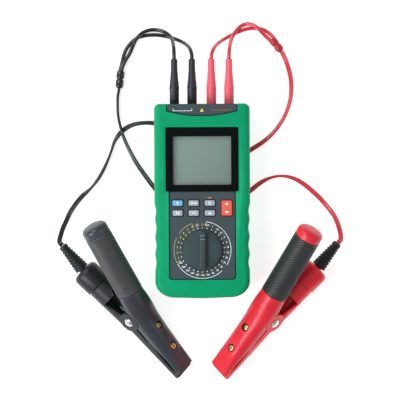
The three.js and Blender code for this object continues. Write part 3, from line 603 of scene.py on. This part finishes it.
cords = [swept(name, points, circle(0, 0, WIRE / 2, 16)) for name, points in WIRES.items()]
for side, points in TWINS.items():
    mouth = [CLAMP[side] @ (RELIEF_FROM + RELIEF_WAY * (RELIEF["length"] + d)) for d in (4.5, 0.5)]
    cords.append(swept(side + "_twin_cable", points + [(*m, points[-1][3]) for m in mouth], TWIN))

# ---------- lead pieces on the cords


def splitter_piece(side):
    start, end = (Vector(p) for p in SPLITTERS[side])
    along = end - start
    length = along.length - 0.8
    profile = [(CORE, -1.2), (3.2, -1.2), (3.8, -0.9), (4.1, -0.3), (4.1, 5.4), (3.9, 5.8),
               (3.3, 6), (3.3, 7.6), (3.9, 7.8), (4.1, 8.2), (4.1, length - 1.6),
               (3.8, length - 0.6), (3.1, length + 0.4), (2.6, length + 1.1), (CORE, length + 1.4)]
    piece = lathe(side + "_splitter_look", profile, start, along, 32)
    return dress(piece, side + "_splitter", side + "_lead", 40)


def clamp_lathe(side, name, look, part, smooth, profile, start, direction, segments,
                closed=False):
    """A turned piece given in the clamp's own U, V and W, on the side's lead or lever."""
    points = placed(lathe_points(profile, start, direction, segments), side)
    piece = solid_mesh(f"{side}_{name}", points, rings_to_faces(segments, len(profile), closed))
    return dress(piece, look, f"{side}_{part}", smooth)


def strain_relief_piece(side):
    base, tip, length, ribs = (RELIEF[k] for k in ("base", "tip", "length", "ribs"))
    profile = [(CORE, -4), (4, -4), (4, 1.5), (base, 1.5), (base + 0.15, 2.6), (base, 4)]
    step = (length - 6) / ribs
    for k in range(ribs):
        radius = base + (tip - base) * (k + 0.5) / ribs
        at = 4 + step * k
        profile += [(radius - 0.75, at + 0.04 * step), (radius - 0.75, at + 0.18 * step),
                    (radius, at + 0.28 * step), (radius + 0.15, at + 0.6 * step),
                    (radius, at + 0.96 * step)]
    profile += [(tip + 0.2, length - 1.6), (tip, length - 0.5), (tip - 0.5, length),
                (CORE, length)]
    return clamp_lathe(side, "strain_relief_look", "relief", "lead", 45, profile, RELIEF_FROM,
                       RELIEF_WAY, 40)


def handle_cap_piece(side):
    neck, end, radius = BARREL["neck"], BARREL["end"], BARREL["radius"]
    outer, inner = radius + 0.8, radius - 0.9
    profile = [(inner, neck), (outer - 0.5, neck), (outer - 0.1, neck + 0.5), (outer, neck + 1.2),
               (outer, end - 5.4), (outer - 0.25, end - 3.8), (outer - 0.9, end - 2.3),
               (outer - 2, end - 1.1), (outer - 3.5, end - 0.35), (outer - 5.2, end), (5.6, end),
               (5.6, end - 3.4), (inner, end - 3.8)]
    return clamp_lathe(side, "handle_cap_look", side + "_barrel", "lead", 40, profile,
                       BARREL["from"], BARREL_WAY, 64, True)


def grip_piece(side):
    """A rubber sleeve with slanting ribs that fade out round the back."""
    root, tip, length = HANDLE["root"], HANDLE["radius"], HANDLE["length"]
    start, end, wall = HANDLE["sleeve"], length - HANDLE["tail"], 1.6
    around, along, pitch = 96, 190, 2.9
    seam = radians(-19 if side == "black" else 10)
    slant = 0.62 if side == "black" else -0.62
    axis, origin = HANDLE_WAY, Vector(HANDLE["from"])
    top = Vector((axis.z, 0, -axis.x))
    beside = axis.cross(top).normalized()
    turns = [2 * pi * k / around for k in range(around)]
    points = []
    for r in range(along + 1):
        s = start + (end - start) * r / along
        base = root + (tip - root) * (s - start) / (end - start)
        ends = max(0, min(1, (s - start - 1.2) / 2, (end - s - 1.2) / 2))
        for angle in turns:
            lean = (angle - seam + pi) % (2 * pi) - pi
            bend = copysign(abs(lean) ** 1.25, lean)
            wave = sin(2 * pi * (s + slant * base * bend) / pitch)
            fade = 1 if abs(lean) < 2.2 else max(0, (pi - abs(lean)) / (pi - 2.2))
            groove = 0.62 * ends * fade * max(0, wave) ** 0.7
            radius = base + 0.12 - groove
            if r in (0, along):
                radius = base - 0.35
            points.append(origin + axis * s + top * (radius * cos(angle))
                          + beside * (radius * sin(angle)))
    for s, base in ((end, tip), (start, root)):
        points += [origin + axis * s + (top * cos(angle) + beside * sin(angle))
                   * (base - wall) for angle in turns]
    piece = solid_mesh(side + "_grip_look", placed(points, side),
                       rings_to_faces(around, along + 3, True))
    return dress(piece, side + "_grip", side + "_lever", 60)


UPPER_RINGS = [
    (-27, 13.2, 1.1, 28.3, 2), (-20, 13.4, -0.8, 26.5, 2), (-10, 14.1, -3, 24.9, 2.1),
    (-2, 14.4, -4, 22.8, 2.2), (4, 14, -4, 20.9, 2.3), (10, 13.2, -4, 19.5, 2.4),
    (18, 12.8, -4, 18.6, 2.4), (34, 12.4, -4, 17.4, 2.3), (60, 11.9, -4, 14.8, 2.5),
    (74, 11.5, -4, 13.4, 2.7)]
LOWER_RINGS = [
    (-30, 13.4, -27.3, 0, 2), (-14, 13.4, -23.4, 3, 2), (0, 13.4, -20.2, 6.6, 2),
    (8, 12.8, -13.6, 8, 2.8), (14, 12.4, -11.8, 8, 3.4), (36, 12, -8.3, 8, 4),
    (60, 11.5, -4.5, 8, 5), (75.5, 11.2, -2.2, 8, 6)]
SCREWS = {"rear": (19.8, 15.6, 2.4), "front": (46, 13.2, 1.1)}  # U, W and height of the lining, a dark cup of painted shadow in the screw hole
JAW_SIDE = 20  # half the reach of a tool that cuts right across a clamp
JAW_WALL = 2.4
FULL_SQUEEZE = 11  # degrees the lever has turned when the clamp is fully open
PIN_ROOM, EAR_ROOM = 2.8, 10.9  # radii


def loft(name, rings, wall=0.0, count=64, per_span=4):
    """A skin through rings of (u, half width, low, high, squareness), thinned by wall."""
    rows = []
    for k in range(len(rings) - 1):
        before = rings[max(0, k - 1)]
        a, b = rings[k], rings[k + 1]
        after = rings[min(len(rings) - 1, k + 2)]
        for step in range(per_span):
            t = step / per_span
            row = [a[0] + (b[0] - a[0]) * t]
            for axis in range(1, 5):
                ma = (b[axis] - before[axis]) / (b[0] - before[0]) * (b[0] - a[0])
                mb = (after[axis] - a[axis]) / (after[0] - a[0]) * (b[0] - a[0])
                row.append(hermite(t, a[axis], ma, b[axis], mb))
            rows.append(row)
    rows.append(list(rings[-1]))
    points = []
    for u, half_width, low, high, square in rows:
        middle, half = (low + wall + (high - wall)) / 2, (high - wall - (low + wall)) / 2
        for k in range(count):
            angle = 2 * pi * k / count
            c, s = cos(angle), sin(angle)
            points.append((u, (half_width - wall) * copysign(abs(c) ** (2 / square), c),
                           middle + half * copysign(abs(s) ** (2 / square), s)))
    return solid_mesh(name, points, rings_to_faces(count, len(rows)))


def side_profile(points, back):
    """A smooth jaw line in UW, closed through its two ends at the height back."""
    line = smooth_route([(u, 0, w) for u, w in points], 6)
    return [(points[0][0], back)] + [(u, w) for u, _, w in line] + [(points[-1][0], back)]


def pin_room():
    return rod("pin_room", PIN_ROOM, -JAW_SIDE, JAW_SIDE, (0, 0, 0), ALONG_PIN, 24)


def finished_jaw(piece, side, look, body):
    """Set a carved jaw, which is already in metres, in its place and soften its edges."""
    matrix = CLAMP[side].copy()
    matrix.translation *= MM
    piece.data.transform(matrix)
    dress(piece, f"{side}_{look}", f"{side}_{body}", 28)
    bevel(piece, 0.35, angle=34)


def upper_jaw_piece(side):
    length, radius, root, sleeve = (HANDLE[k] for k in ("length", "radius", "root", "sleeve"))
    body = loft(side + "_upper_jaw_look", UPPER_RINGS)
    jaw_line = side_profile(
        [(72.6, 4.8), (66, 5.8), (56, 6.4), (44, 5.2), (32, 2.6), (20, 0.6), (-8, 0.6),
         (-30, -3.6)], 30)
    handle = lathe("handle", [
        (CORE, -3), (root - 1.2, -3), (root - 1, 0), (root - 1, sleeve - 0.1),
        (root - 2, sleeve - 0.1), (radius - 2, length - HANDLE["tail"]),
        (radius - 0.4, length - 10.8), (radius, length - 10.4), (radius + 0.1, length - 6.4),
        (radius - 0.1, length - 4.4), (radius - 0.7, length - 3), (radius - 1.8, length - 1.9),
        (radius - 3.8, length - 1), (radius - 7.2, length - 0.35), (CORE, length)],
        HANDLE["from"], HANDLE_WAY, 64)
    crown = [(28, 17.9), (80, 8.9), (80, 40), (28, 40)]
    steps = [
        (KEEP, across("side", jaw_line, JAW_SIDE)),
        (CUT, across("crown", crown, JAW_SIDE)),
        (CUT, loft("inner", UPPER_RINGS[1:9], JAW_WALL, 32, 2)),
        (CUT, rod("shoulder", 30, sleeve - 0.5, 60, HANDLE["from"], HANDLE_WAY, 48)),
        (ADD, handle)]
    for u, w, _ in SCREWS.values():
        steps += [(ADD, rod("boss", 4.9, 9.2, w - 0.6, (u, 0, 0), UP, 24)),
                  (CUT, rod("hole", 4.1, w, w + 20, (u, 0, 0), UP, 32))]
    for v0, v1 in ((-30, -EAR["inner"] + 0.3), (EAR["inner"] - 0.3, 30)):
        steps.append((CUT, rod("ear_room", EAR_ROOM, v0, v1, (0, 0, 0), ALONG_PIN, 64)))
    steps.append((CUT, pin_room()))
    finished_jaw(carve(body, *steps), side, "clamp", "lever")


def lower_jaw_piece(side):
    start, neck, end, radius = (BARREL[k] for k in ("start", "neck", "end", "radius"))
    body = loft(side + "_lower_jaw_look", LOWER_RINGS)
    jaw_line = side_profile(
        [(75.5, 4.4), (71, 4.4), (66, 3), (56, 2.2), (44, 2.2), (34, 2.4), (22, 0.4), (12, 0.1),
         (5, -1.4), (0, -2.6), (-10, -4.6), (-20, -9.6), (-30, -16)], -40)
    room = [(CORE, -30), (HANDLE["root"] + 0.6, -30), (HANDLE["radius"] + 0.8, 100), (CORE, 100)]
    turn = Matrix.Rotation(radians(-FULL_SQUEEZE), 4, "Y")
    opened = [turn @ p for p in lathe_points(room, HANDLE["from"], HANDLE_WAY, 48)]
    barrel = lathe("barrel", [
        (CORE, neck - 8), (radius - 2.4, neck - 8), (radius - 2.4, start), (radius, start),
        (radius, neck - 1.2), (radius - 0.3, neck - 0.7), (radius - 1.2, neck - 0.4),
        (radius - 1.2, end - 4.8), (CORE, end - 4.8)], BARREL["from"], BARREL_WAY, 64)
    steps = [
        (KEEP, across("side", jaw_line, JAW_SIDE)),
        (CUT, loft("inner", LOWER_RINGS[:7], JAW_WALL, 32, 2)),
        (ADD, barrel),
        (CUT, solid_mesh("lever_room", opened, rings_to_faces(48, len(room))))]
    for v0, v1 in ((-EAR["outer"], -EAR["inner"]), (EAR["inner"], EAR["outer"])):
        steps.append((ADD, rod("ear", EAR["radius"], v0, v1, (0, 0, 0), ALONG_PIN, 64)))
    steps += [
        (CUT, pin_room()),
        (CUT, across("gap_a", box_outline(-24, 13, -11, 14), 11.55)),
        (CUT, across("gap_b", box_outline(12.7, 70.3, -1.2, 10), 5.8))]
    finished_jaw(carve(body, *steps), side, "barrel", "lead")


def pivot_pin_piece(side):
    head = EAR["outer"] + 0.3
    cap = [(CORE, 1.6), (1.4, 1.55), (2.8, 1.3), (3.9, 0.8), (4.5, 0.3), (4.6, 0)]
    profile = [(r, -head - h) for r, h in cap] + [(EAR["pin"], -head), (EAR["pin"], head)]
    profile += [(r, head + h) for r, h in reversed(cap)]
    clamp_lathe(side, "pivot_pin_look", "steel", "lead", 40, profile, (0, 0, 0), ALONG_PIN, 48)


def screw_pieces(side, name):
    """A domed brass head with a hexagon hole, sunk in the jaw, with a dark cup round it in the
    hole that is painted shadow.
    """
    u, w, shadow_cup_top = SCREWS[name]
    profile = [(CORE, 9.7 - w), (1.2, 9.7 - w), (1.2, 0.2), (3.1, 0.2), (3.25, 0.6), (3.15, 1.2),
               (2.6, 1.7), (1.7, 1.95), (1.25, 2), (1.1, 1.1), (CORE, 1)]
    clamp_lathe(side, f"screw_{name}_look", "brass", "lever", 35, profile, (u, 0, w), UP, 36)
    # painted shadow: a dark cup lines the screw hole where shade falls
    cup = [(2.2, 0.03), (4.05, 0.03), (4.05, shadow_cup_top), (3.7, shadow_cup_top), (3.5, 0.3), (2.2, 0.15)]
    clamp_lathe(side, f"screw_{name}_recess", "socket", "lever", 35, cup, (u, 0, w), UP, 36, True)


def plug_piece(side, letter, x):
    shroud, shoulder, end, radius, tail = 77, 96.6, 141, 4.75, 3.35
    length, sleeve = end - shroud, shoulder - shroud
    profile = [
        (3.5, 0), (radius - 0.2, 0), (radius, 0.3), (radius, sleeve + 14.6),
        (radius + 0.3, sleeve + 15), (radius + 0.35, sleeve + 15.6),
        (radius + 0.3, sleeve + 16.6), (radius - 0.05, sleeve + 17.2),
        (radius - 0.1, sleeve + 18.5), (radius - 0.25, sleeve + 21), (radius - 0.55, sleeve + 24),
        (radius - 0.95, sleeve + 27), (tail + 0.4, sleeve + 30), (tail + 0.12, length - 12),
        (tail, length - 10.5), (tail, length - 0.5), (tail - 0.15, length - 0.15),
        (tail - 0.5, length), (0.2, length), (0.2, sleeve + 22), (2.3, sleeve + 22),
        (2.3, sleeve), (3.5, sleeve)]
    piece = lathe(f"{side}_plug_{letter}_look", profile, (x, shroud, 30), ALONG_PIN, 40, True)
    dress(piece, side + "_plug", side + "_lead", 40)


PLUGS = {"black": (-27.2, -9.6), "red": (9.6, 27.2)}
splitters, clamp_ends = {}, {}
for side in ("black", "red"):
    splitters[side] = splitter_piece(side)
    clamp_ends[side] = [strain_relief_piece(side), handle_cap_piece(side), grip_piece(side)]
    upper_jaw_piece(side)
    lower_jaw_piece(side)
    pivot_pin_piece(side)
    for letter, x in zip("ab", PLUGS[side]):
        plug_piece(side, letter, x)
    for name, look, edge, smooth in (
            ("pin_a", "brass", 0, 40), ("pin_b", "brass", 0, 40), ("spring", "spring", 0, 60),
            ("upper_contact", "copper", 0.1, 35), ("lower_contact", "copper", 0.1, 35)):
        refined(f"{side}_{name}", look, edge, smooth)
    for name in SCREWS:
        screw_pieces(side, name)

for piece, path, name in cords:
    side = name.split("_")[0]

# ---------- meter


BOOT_HALF_WIDTH = 47.2
WAVE = 17  # length of one of the four finger waves down each side


def half_width_at(y):
    travelled = -1 - y
    if travelled < 0:
        return BOOT_HALF_WIDTH
    ripple = (1 - cos(2 * pi * travelled / WAVE)) / 2 if travelled < 4 * WAVE else 0
    return BOOT_HALF_WIDTH - min(1, travelled / WAVE) * 0.6 - 1.2 * ripple


def meter_outline(width_at, half_length, top_radius, bottom_radius, bow, sides, corner):
    right = [Vector((0, -half_length))]
    low = width_at(-half_length + bottom_radius)
    for k in range(corner + 1):
        angle = radians(-90 + 90 * k / corner)
        right.append(Vector((low - bottom_radius * 1.12 * (1 - cos(angle)),
                             -half_length + bow + (bottom_radius - bow) * (1 + sin(angle)))))
    start, stop = -half_length + bottom_radius, half_length - top_radius
    for k in range(1, sides):
        y = start + (stop - start) * k / sides
        right.append(Vector((width_at(y), y)))
    for k in range(corner // 2 + 1):
        angle = radians(90 * k / (corner // 2))
        right.append(Vector((width_at(stop) - top_radius * (1 - cos(angle)),
                             stop + top_radius * sin(angle))))
    left = [Vector((-p.x, p.y)) for p in reversed(right[1:])]
    return right + left


def inset_outline(outline, distance):
    """Each point moved inwards along the mean normal of its two edges."""
    moved = []
    count = len(outline)
    for k, point in enumerate(outline):
        ahead = (outline[(k + 1) % count] - point).normalized()
        behind = (point - outline[k - 1]).normalized()
        along = (ahead + behind).normalized()
        moved.append(point + Vector((-along.y, along.x)) * distance)
    return moved


def jack_outline():
    """The jack block with some room round it; its near side bows towards the display."""
    room, steps = 0.3, 20
    half, end, low = 34.7 + room, 95.4 + 4 * room, 88.3 - room
    points = [(half, end), (-half, end), (-half, low)]
    for k in range(1, steps):
        t = k / steps
        points.append(((2 * t - 1) * half, low - 2 * t * (1 - t) * (88.3 - 83.4) * 2))
    return points + [(half, low)]


def boot_piece():
    outline = meter_outline(half_width_at, 96, 5.5, 17, 1, 96, 16)
    skin = [(4, 5), (1.6, 5.5), (0.4, 6.8), (0, 8.8), (0, 41), (0.12, 42.6), (0.5, 44),
            (1.15, 45.3), (2, 46.3), (3, 47), (3.9, 47.45), (4.6, 47.7), (5.2, 47.85)]
    body = solid_mesh("boot_look", *stacked(skin, lambda inset: inset_outline(outline, inset)))
    case = inset_outline(meter_outline(lambda y: 43, 91.6, 5, 15, 0.6, 8, 12), -0.3)
    brow = [(-37.6, 8), (37.6, 8), (37.6, 72.6)]
    brow += [(37.6 - 75.2 * k / 16, 73.4 + 3.2 * sin(pi * k / 16) ** 0.8)
             for k in range(1, 16)]
    brow += [(-37.6, 72.6)]
    steps = [
        (CUT, prism("hollow", [tuple(p) for p in case], 9, 44.8)),
        (CUT, prism("brow", brow, 47.3, 60)),
        (CUT, prism("panel", box_outline(-32.9, 32.9, -77.3, 12, 3.2), 44, 60)),
        (CUT, prism("bezel", box_outline(-35.9, 35.9, 9.4, 72.5, 1.5), 44, 60)),
        (CUT, prism("jacks", jack_outline(), 17, 60)),
        (CUT, prism("stand_room", box_outline(-34.6, 34.6, -79, -6, 4), 0, 9.4))]
    for x0, x1, y0, y1, r in ((-10, 10, 48, 90, 4), (-38, -20, -89.5, -82, 3),
                              (20, 38, -89.5, -82, 3)):
        steps.append((ADD, prism("foot", box_outline(x0, x1, y0, y1, r), 0, 6)))
    piece = carve(body, *steps)
    dress(piece, "boot", "meter", 30)
    bevel(piece, 0.6, segments=3, angle=42)


KEY_SIZE = (10.1, 5.6)
KEY_TOP = 47.9
KEY_CORNER = 1.3
KEY_EDGE = 0.7


def key_piece(name, x, y, width, length, base, look, surround):
    """A key with rounded corners and top edge, and the thin dark ring printed round it."""
    def outline_at(inset):
        return box_outline(x - width / 2 + inset, x + width / 2 - inset, y - length / 2 + inset,
                           y + length / 2 - inset, max(0.05, KEY_CORNER - inset), 5)

    levels = [(0.0, base)]
    for degrees in (0, 22.5, 45, 67.5, 90):
        angle = radians(degrees)
        levels.append((KEY_EDGE * (1 - cos(angle)),
                       KEY_TOP - KEY_EDGE + KEY_EDGE * sin(angle)))
    points, faces = stacked(levels, outline_at)
    make_piece(name + "_look", points, faces, look, name, 40)
    outer, inner = (box_outline(x - width / 2 - grow, x + width / 2 + grow, y - length / 2 - grow,
                                y + length / 2 + grow, corner)
                    for grow, corner in ((1.25, 2.2), (0.5, 1.5)))
    flat_ring(name + "_surround", outer, inner, SURROUND_INK, surround)


def flat_ring(name, outer, inner, level, look, body="meter"):
    low, high = level
    points = [(x, y, z) for loop, z in ((outer, low), (outer, high), (inner, high), (inner, low))
              for x, y in loop]
    make_piece(name, points, rings_to_faces(len(outer), 4, True), look, body, 30)


def flat_shapes(name, outlines, level, look, body="meter"):
    """Several small printed shapes as one thin piece."""
    points, faces = [], []
    for outline in outlines:
        first = len(points)
        points += [(x, y, z) for z in level for x, y in outline]
        faces += [tuple(first + i for i in face) for face in rings_to_faces(len(outline), 2)]
    make_piece(name, points, faces, look, body, 30)


def arc_band(x, y, radius, width, first, last):
    """A closed band along an arc; angles clockwise from the top, in degrees."""
    steps = 48
    angles = [radians(first + (last - first) * k / steps) for k in range(steps + 1)]
    outer, inner = ([(x + r * sin(a), y + r * cos(a)) for a in angles]
                    for r in (radius + width / 2, radius - width / 2))
    return outer + inner[::-1]


def bar_between(x0, y0, x1, y1, width):
    along = Vector((x1 - x0, y1 - y0)).normalized()
    side = Vector((-along.y, along.x)) * width / 2
    a, b = Vector((x0, y0)), Vector((x1, y1))
    return [tuple(a - side), tuple(b - side), tuple(b + side), tuple(a + side)]


def printed_text(name, labels, size, look):
    """Numbers as one thin mesh: labels are (text, x, y)."""
    work = bmesh.new()
    for text, x, y in labels:
        curve = bpy.data.curves.new(name, "FONT")
        curve.body = text
        curve.size = size * MM
        curve.align_x, curve.align_y = "CENTER", "CENTER"
        curve.extrude = 0.03 * MM
        curve.offset = 0.075 * MM
        curve.resolution_u = 3
        holder = bpy.data.objects.new(name, curve)
        scene.collection.objects.link(holder)
        holder.location = (x * MM, y * MM, TEXT_LEVEL * MM)
        mesh = evaluated_mesh(holder)
        mesh.transform(holder.matrix_world)
        work.from_mesh(mesh)
        bpy.data.objects.remove(holder)
        bpy.data.meshes.remove(mesh)
    mesh = bpy.data.meshes.new(name)
    work.to_mesh(mesh)
    work.free()
    dress(bpy.data.objects.new(name, mesh), look, "meter", 30)


DIAL = (0, -48)
DIAL_STEP = 12  # degrees
DOTS, NUMBERS, ARCS, ARC_ENDS = 21.6, 24.9, 28, 28.2  # radii


def on_dial(radius, angle):
    return (DIAL[0] + radius * sin(radians(angle)),
            DIAL[1] + radius * cos(radians(angle)))


def dial_dots(name, angles, radius, look):
    flat_shapes(name, [circle(*on_dial(DOTS, a), radius) for a in angles], DIAL_INK, look)


def dial_printing():
    dial_dots("dial_dots_white", [*range(DIAL_STEP, 241, DIAL_STEP), 348], 0.62, "white_ink")
    dial_dots("dial_dots_yellow", range(252, 337, DIAL_STEP), 0.6, "yellow_ink")
    dial_dots("dial_dot_start", [0], 0.7, "orange_ink")
    right = "0.5 1 1.5 2.5 4 6 10 16 25 35 50 70 95 120 150 185 240 300 400 500"
    labels = [(text, *on_dial(NUMBERS, DIAL_STEP * (k + 1)))
              for k, text in enumerate(right.split())]
    printed_text("dial_numbers_white", labels, 2.3, "white_ink")
    left = [(str(k + 1), *on_dial(24.7, 252 + DIAL_STEP * k)) for k in range(8)]
    printed_text("dial_numbers_yellow", left, 2.4, "yellow_ink")
    printed_text("dial_number_start", [("0", *on_dial(NUMBERS, 0))], 2.8, "orange_ink")
    ring = on_dial(NUMBERS, 348)
    flat_ring("dial_ring_mark", circle(*ring, 1.25), circle(*ring, 0.85), DIAL_INK, "white_ink")
    flat_shapes("dial_arc_white", [
        arc_band(*DIAL, ARCS, 0.55, 8, 122),
        arc_band(*DIAL, ARCS, 0.55, 137, 241),
        bar_between(*on_dial(24.2, 7), *on_dial(ARC_ENDS, 8), 0.5),
    ], DIAL_INK, "white_ink")
    flat_shapes("dial_arc_yellow", [
        arc_band(*DIAL, ARCS, 0.5, 243, 295),
        arc_band(*DIAL, ARCS, 0.5, 305, 338),
        bar_between(*on_dial(23.2, 340), *on_dial(ARC_ENDS, 338), 0.5),
        bar_between(*on_dial(23.6, 246), *on_dial(ARC_ENDS, 243), 0.5),
    ], DIAL_INK, "cream_ink")


def knob_piece():
    (x, y), radius, base, disc, bar = DIAL, 19.7, 46.9, 50.6, 56.4
    profile = [(CORE, 39.7), (4.4, 39.7), (4.4, base), (radius - 0.3, base), (radius, base + 0.3),
               (radius, disc - 1.6), (radius - 0.25, disc - 0.9), (radius - 0.8, disc - 0.3),
               (radius - 1.5, disc - 0.05), (12, disc + 0.25), (CORE, disc + 0.4)]
    body = lathe("selector_knob_look", profile, (x, y, 0), UP, 96)
    reach = radius - 0.8
    levels = [(-0.7, disc - 1), (-0.35, disc + 1.5), (0, bar - 1.4), (0.3, bar - 0.6),
              (0.9, bar - 0.12), (1.4, bar)]

    def bar_outline(inset):
        end = reach - max(0, inset)
        return box_outline(-3.1 + inset, 3.1 - inset, y - end, y + end, 2.4 - inset, 8)

    steps = [(ADD, solid_mesh("pointer", *stacked(levels, bar_outline)))]
    lines = [y + at for at in (14.1, 10.6)]
    for at in lines:
        room = box_outline(-3, 3, at - 0.35, at + 0.35)
        steps.append((CUT, prism("line_room", room, bar - 0.35, 60)))
    piece = carve(body, *steps)
    dress(piece, "knob", "selector", 30)
    flat_shapes("knob_lines", [box_outline(-2.4, 2.4, at - 0.3, at + 0.3, 0.2) for at in lines],
                (bar - 0.33, bar - 0.12), "knob_mark", "selector")
    bevel(piece, 0.3, angle=38)


boot_piece()
for name, look, edge in (
        ("front_case", "case", 0.3), ("rear_case", "case", 0.3), ("display_bezel", "gloss", 0.25),
        ("display_lens", "window", 0.1), ("lcd_panel", "lcd", 0.1), ("main_board", "board", 0),
        ("keypad_mat", "mat", 0.2), ("battery_door", "case", 0.25),
        ("battery_pack", "battery", 0.2), ("jack_block", "socket", 0.15),
        ("door_screw", "steel", 0.1), ("selector_rotor", "board", 0.2),
        ("tilt_stand", "stand", 0.3)):
    refined(name, look, edge, 30)

KEYS = [("key_light", -24.2, -2), ("key_mode", -8.4, -2), ("key_zero", 7.4, -2),
        ("key_hold", -24.2, -11.7), ("key_range", -8.4, -11.7), ("key_unit", 7.4, -11.7)]
SYMBOLS = {
    "key_up_down_arrows": [[(22.3, -3.9), (25.9, -3.9), (24.1, -1.3)],
                           [(25.9, -10.1), (22.3, -10.1), (24.1, -12.7)]],
    "key_light_symbol": [circle(-24.2, -1.6, 1.1), box_outline(-24.8, -23.6, -3.9, -3.2)],
    "key_mode_symbol": [box_outline(-11.2, -8.9, -2.8, -1.2, 0.3),
                        box_outline(-7.9, -5.6, -2.8, -1.2, 0.3)],
    "key_zero_symbol": (circle(7.4, -2, 1.5), circle(7.4, -2, 0.85)),
    "key_hold_symbol": [box_outline(-25.9, -24.7, -13.2, -10.2),
                        box_outline(-23.7, -22.5, -13.2, -10.2)],
    "key_range_symbol": [box_outline(-11, -5.8, -12.2, -11.2),
                         box_outline(-11, -10.2, -13.2, -10.2),
                         box_outline(-6.6, -5.8, -13.2, -10.2)],
    "key_unit_symbol": [[(5.4, -13), (9.4, -13), (7.4, -10.2)]],
}
for name, x, y in KEYS:
    look = "key_blue" if name == "key_light" else "key_grey"
    key_piece(name, x, y, *KEY_SIZE, 41.2, look, "key_frame")
key_piece("key_up_down", 24.1, -7, 10.4, 15, 40.7, "key_red", "key_frame_red")
for name, shapes in SYMBOLS.items():
    key = name.rpartition("_")[0]
    if key == "key_zero":
        flat_ring(name, *shapes, KEY_INK, "white_ink", key)
    else:
        flat_shapes(name, shapes, KEY_INK, "white_ink", key)
flat_shapes("zero_mark", [box_outline(6, 8.8, 2.7, 3.7, 0.4), box_outline(3.4, 4, 2.8, 3.7)],
            PANEL_INK, "orange_ink")
dial_printing()
knob_piece()
flat_shapes("socket_bracket_white", [
    box_outline(-28.4, -9.6, 88.3, 88.8), box_outline(-28.4, -27.9, 88.8, 90.9),
    box_outline(-10.1, -9.6, 88.8, 90.9)], PANEL_INK, "white_ink")
flat_shapes("socket_bracket_red", [
    box_outline(9.6, 28.4, 89, 89.5), box_outline(9.6, 10.1, 89.5, 90.9),
    box_outline(27.9, 28.4, 89.5, 90.9)], PANEL_INK, "red_ink")
flat_shapes("caution_triangle", [[(-1.9, 87.6), (1.9, 87.6), (0, 91.2)]], PANEL_INK, "yellow_ink")

# ---------- stage
FLOOR_REACH = 9000
FLOOR_LEVEL = -0.05


def add_floor():
    outline = box_outline(-FLOOR_REACH, FLOOR_REACH, -FLOOR_REACH, FLOOR_REACH)
    mesh = raw_mesh("floor", [(x, y, FLOOR_LEVEL) for x, y in outline], [(0, 1, 2, 3)])
    floor = bpy.data.objects.new("floor", mesh)
    scene.collection.objects.link(floor)
    material, nodes, links, shader = node_tree("floor_paper")
    put(shader, {"Base Color": (0.66, 0.66, 0.66, 1), "Roughness": 0.9,
                 "Emission Color": (1, 1, 1, 1), "Emission Strength": 0.72})
    mesh.materials.append(material)


add_floor()
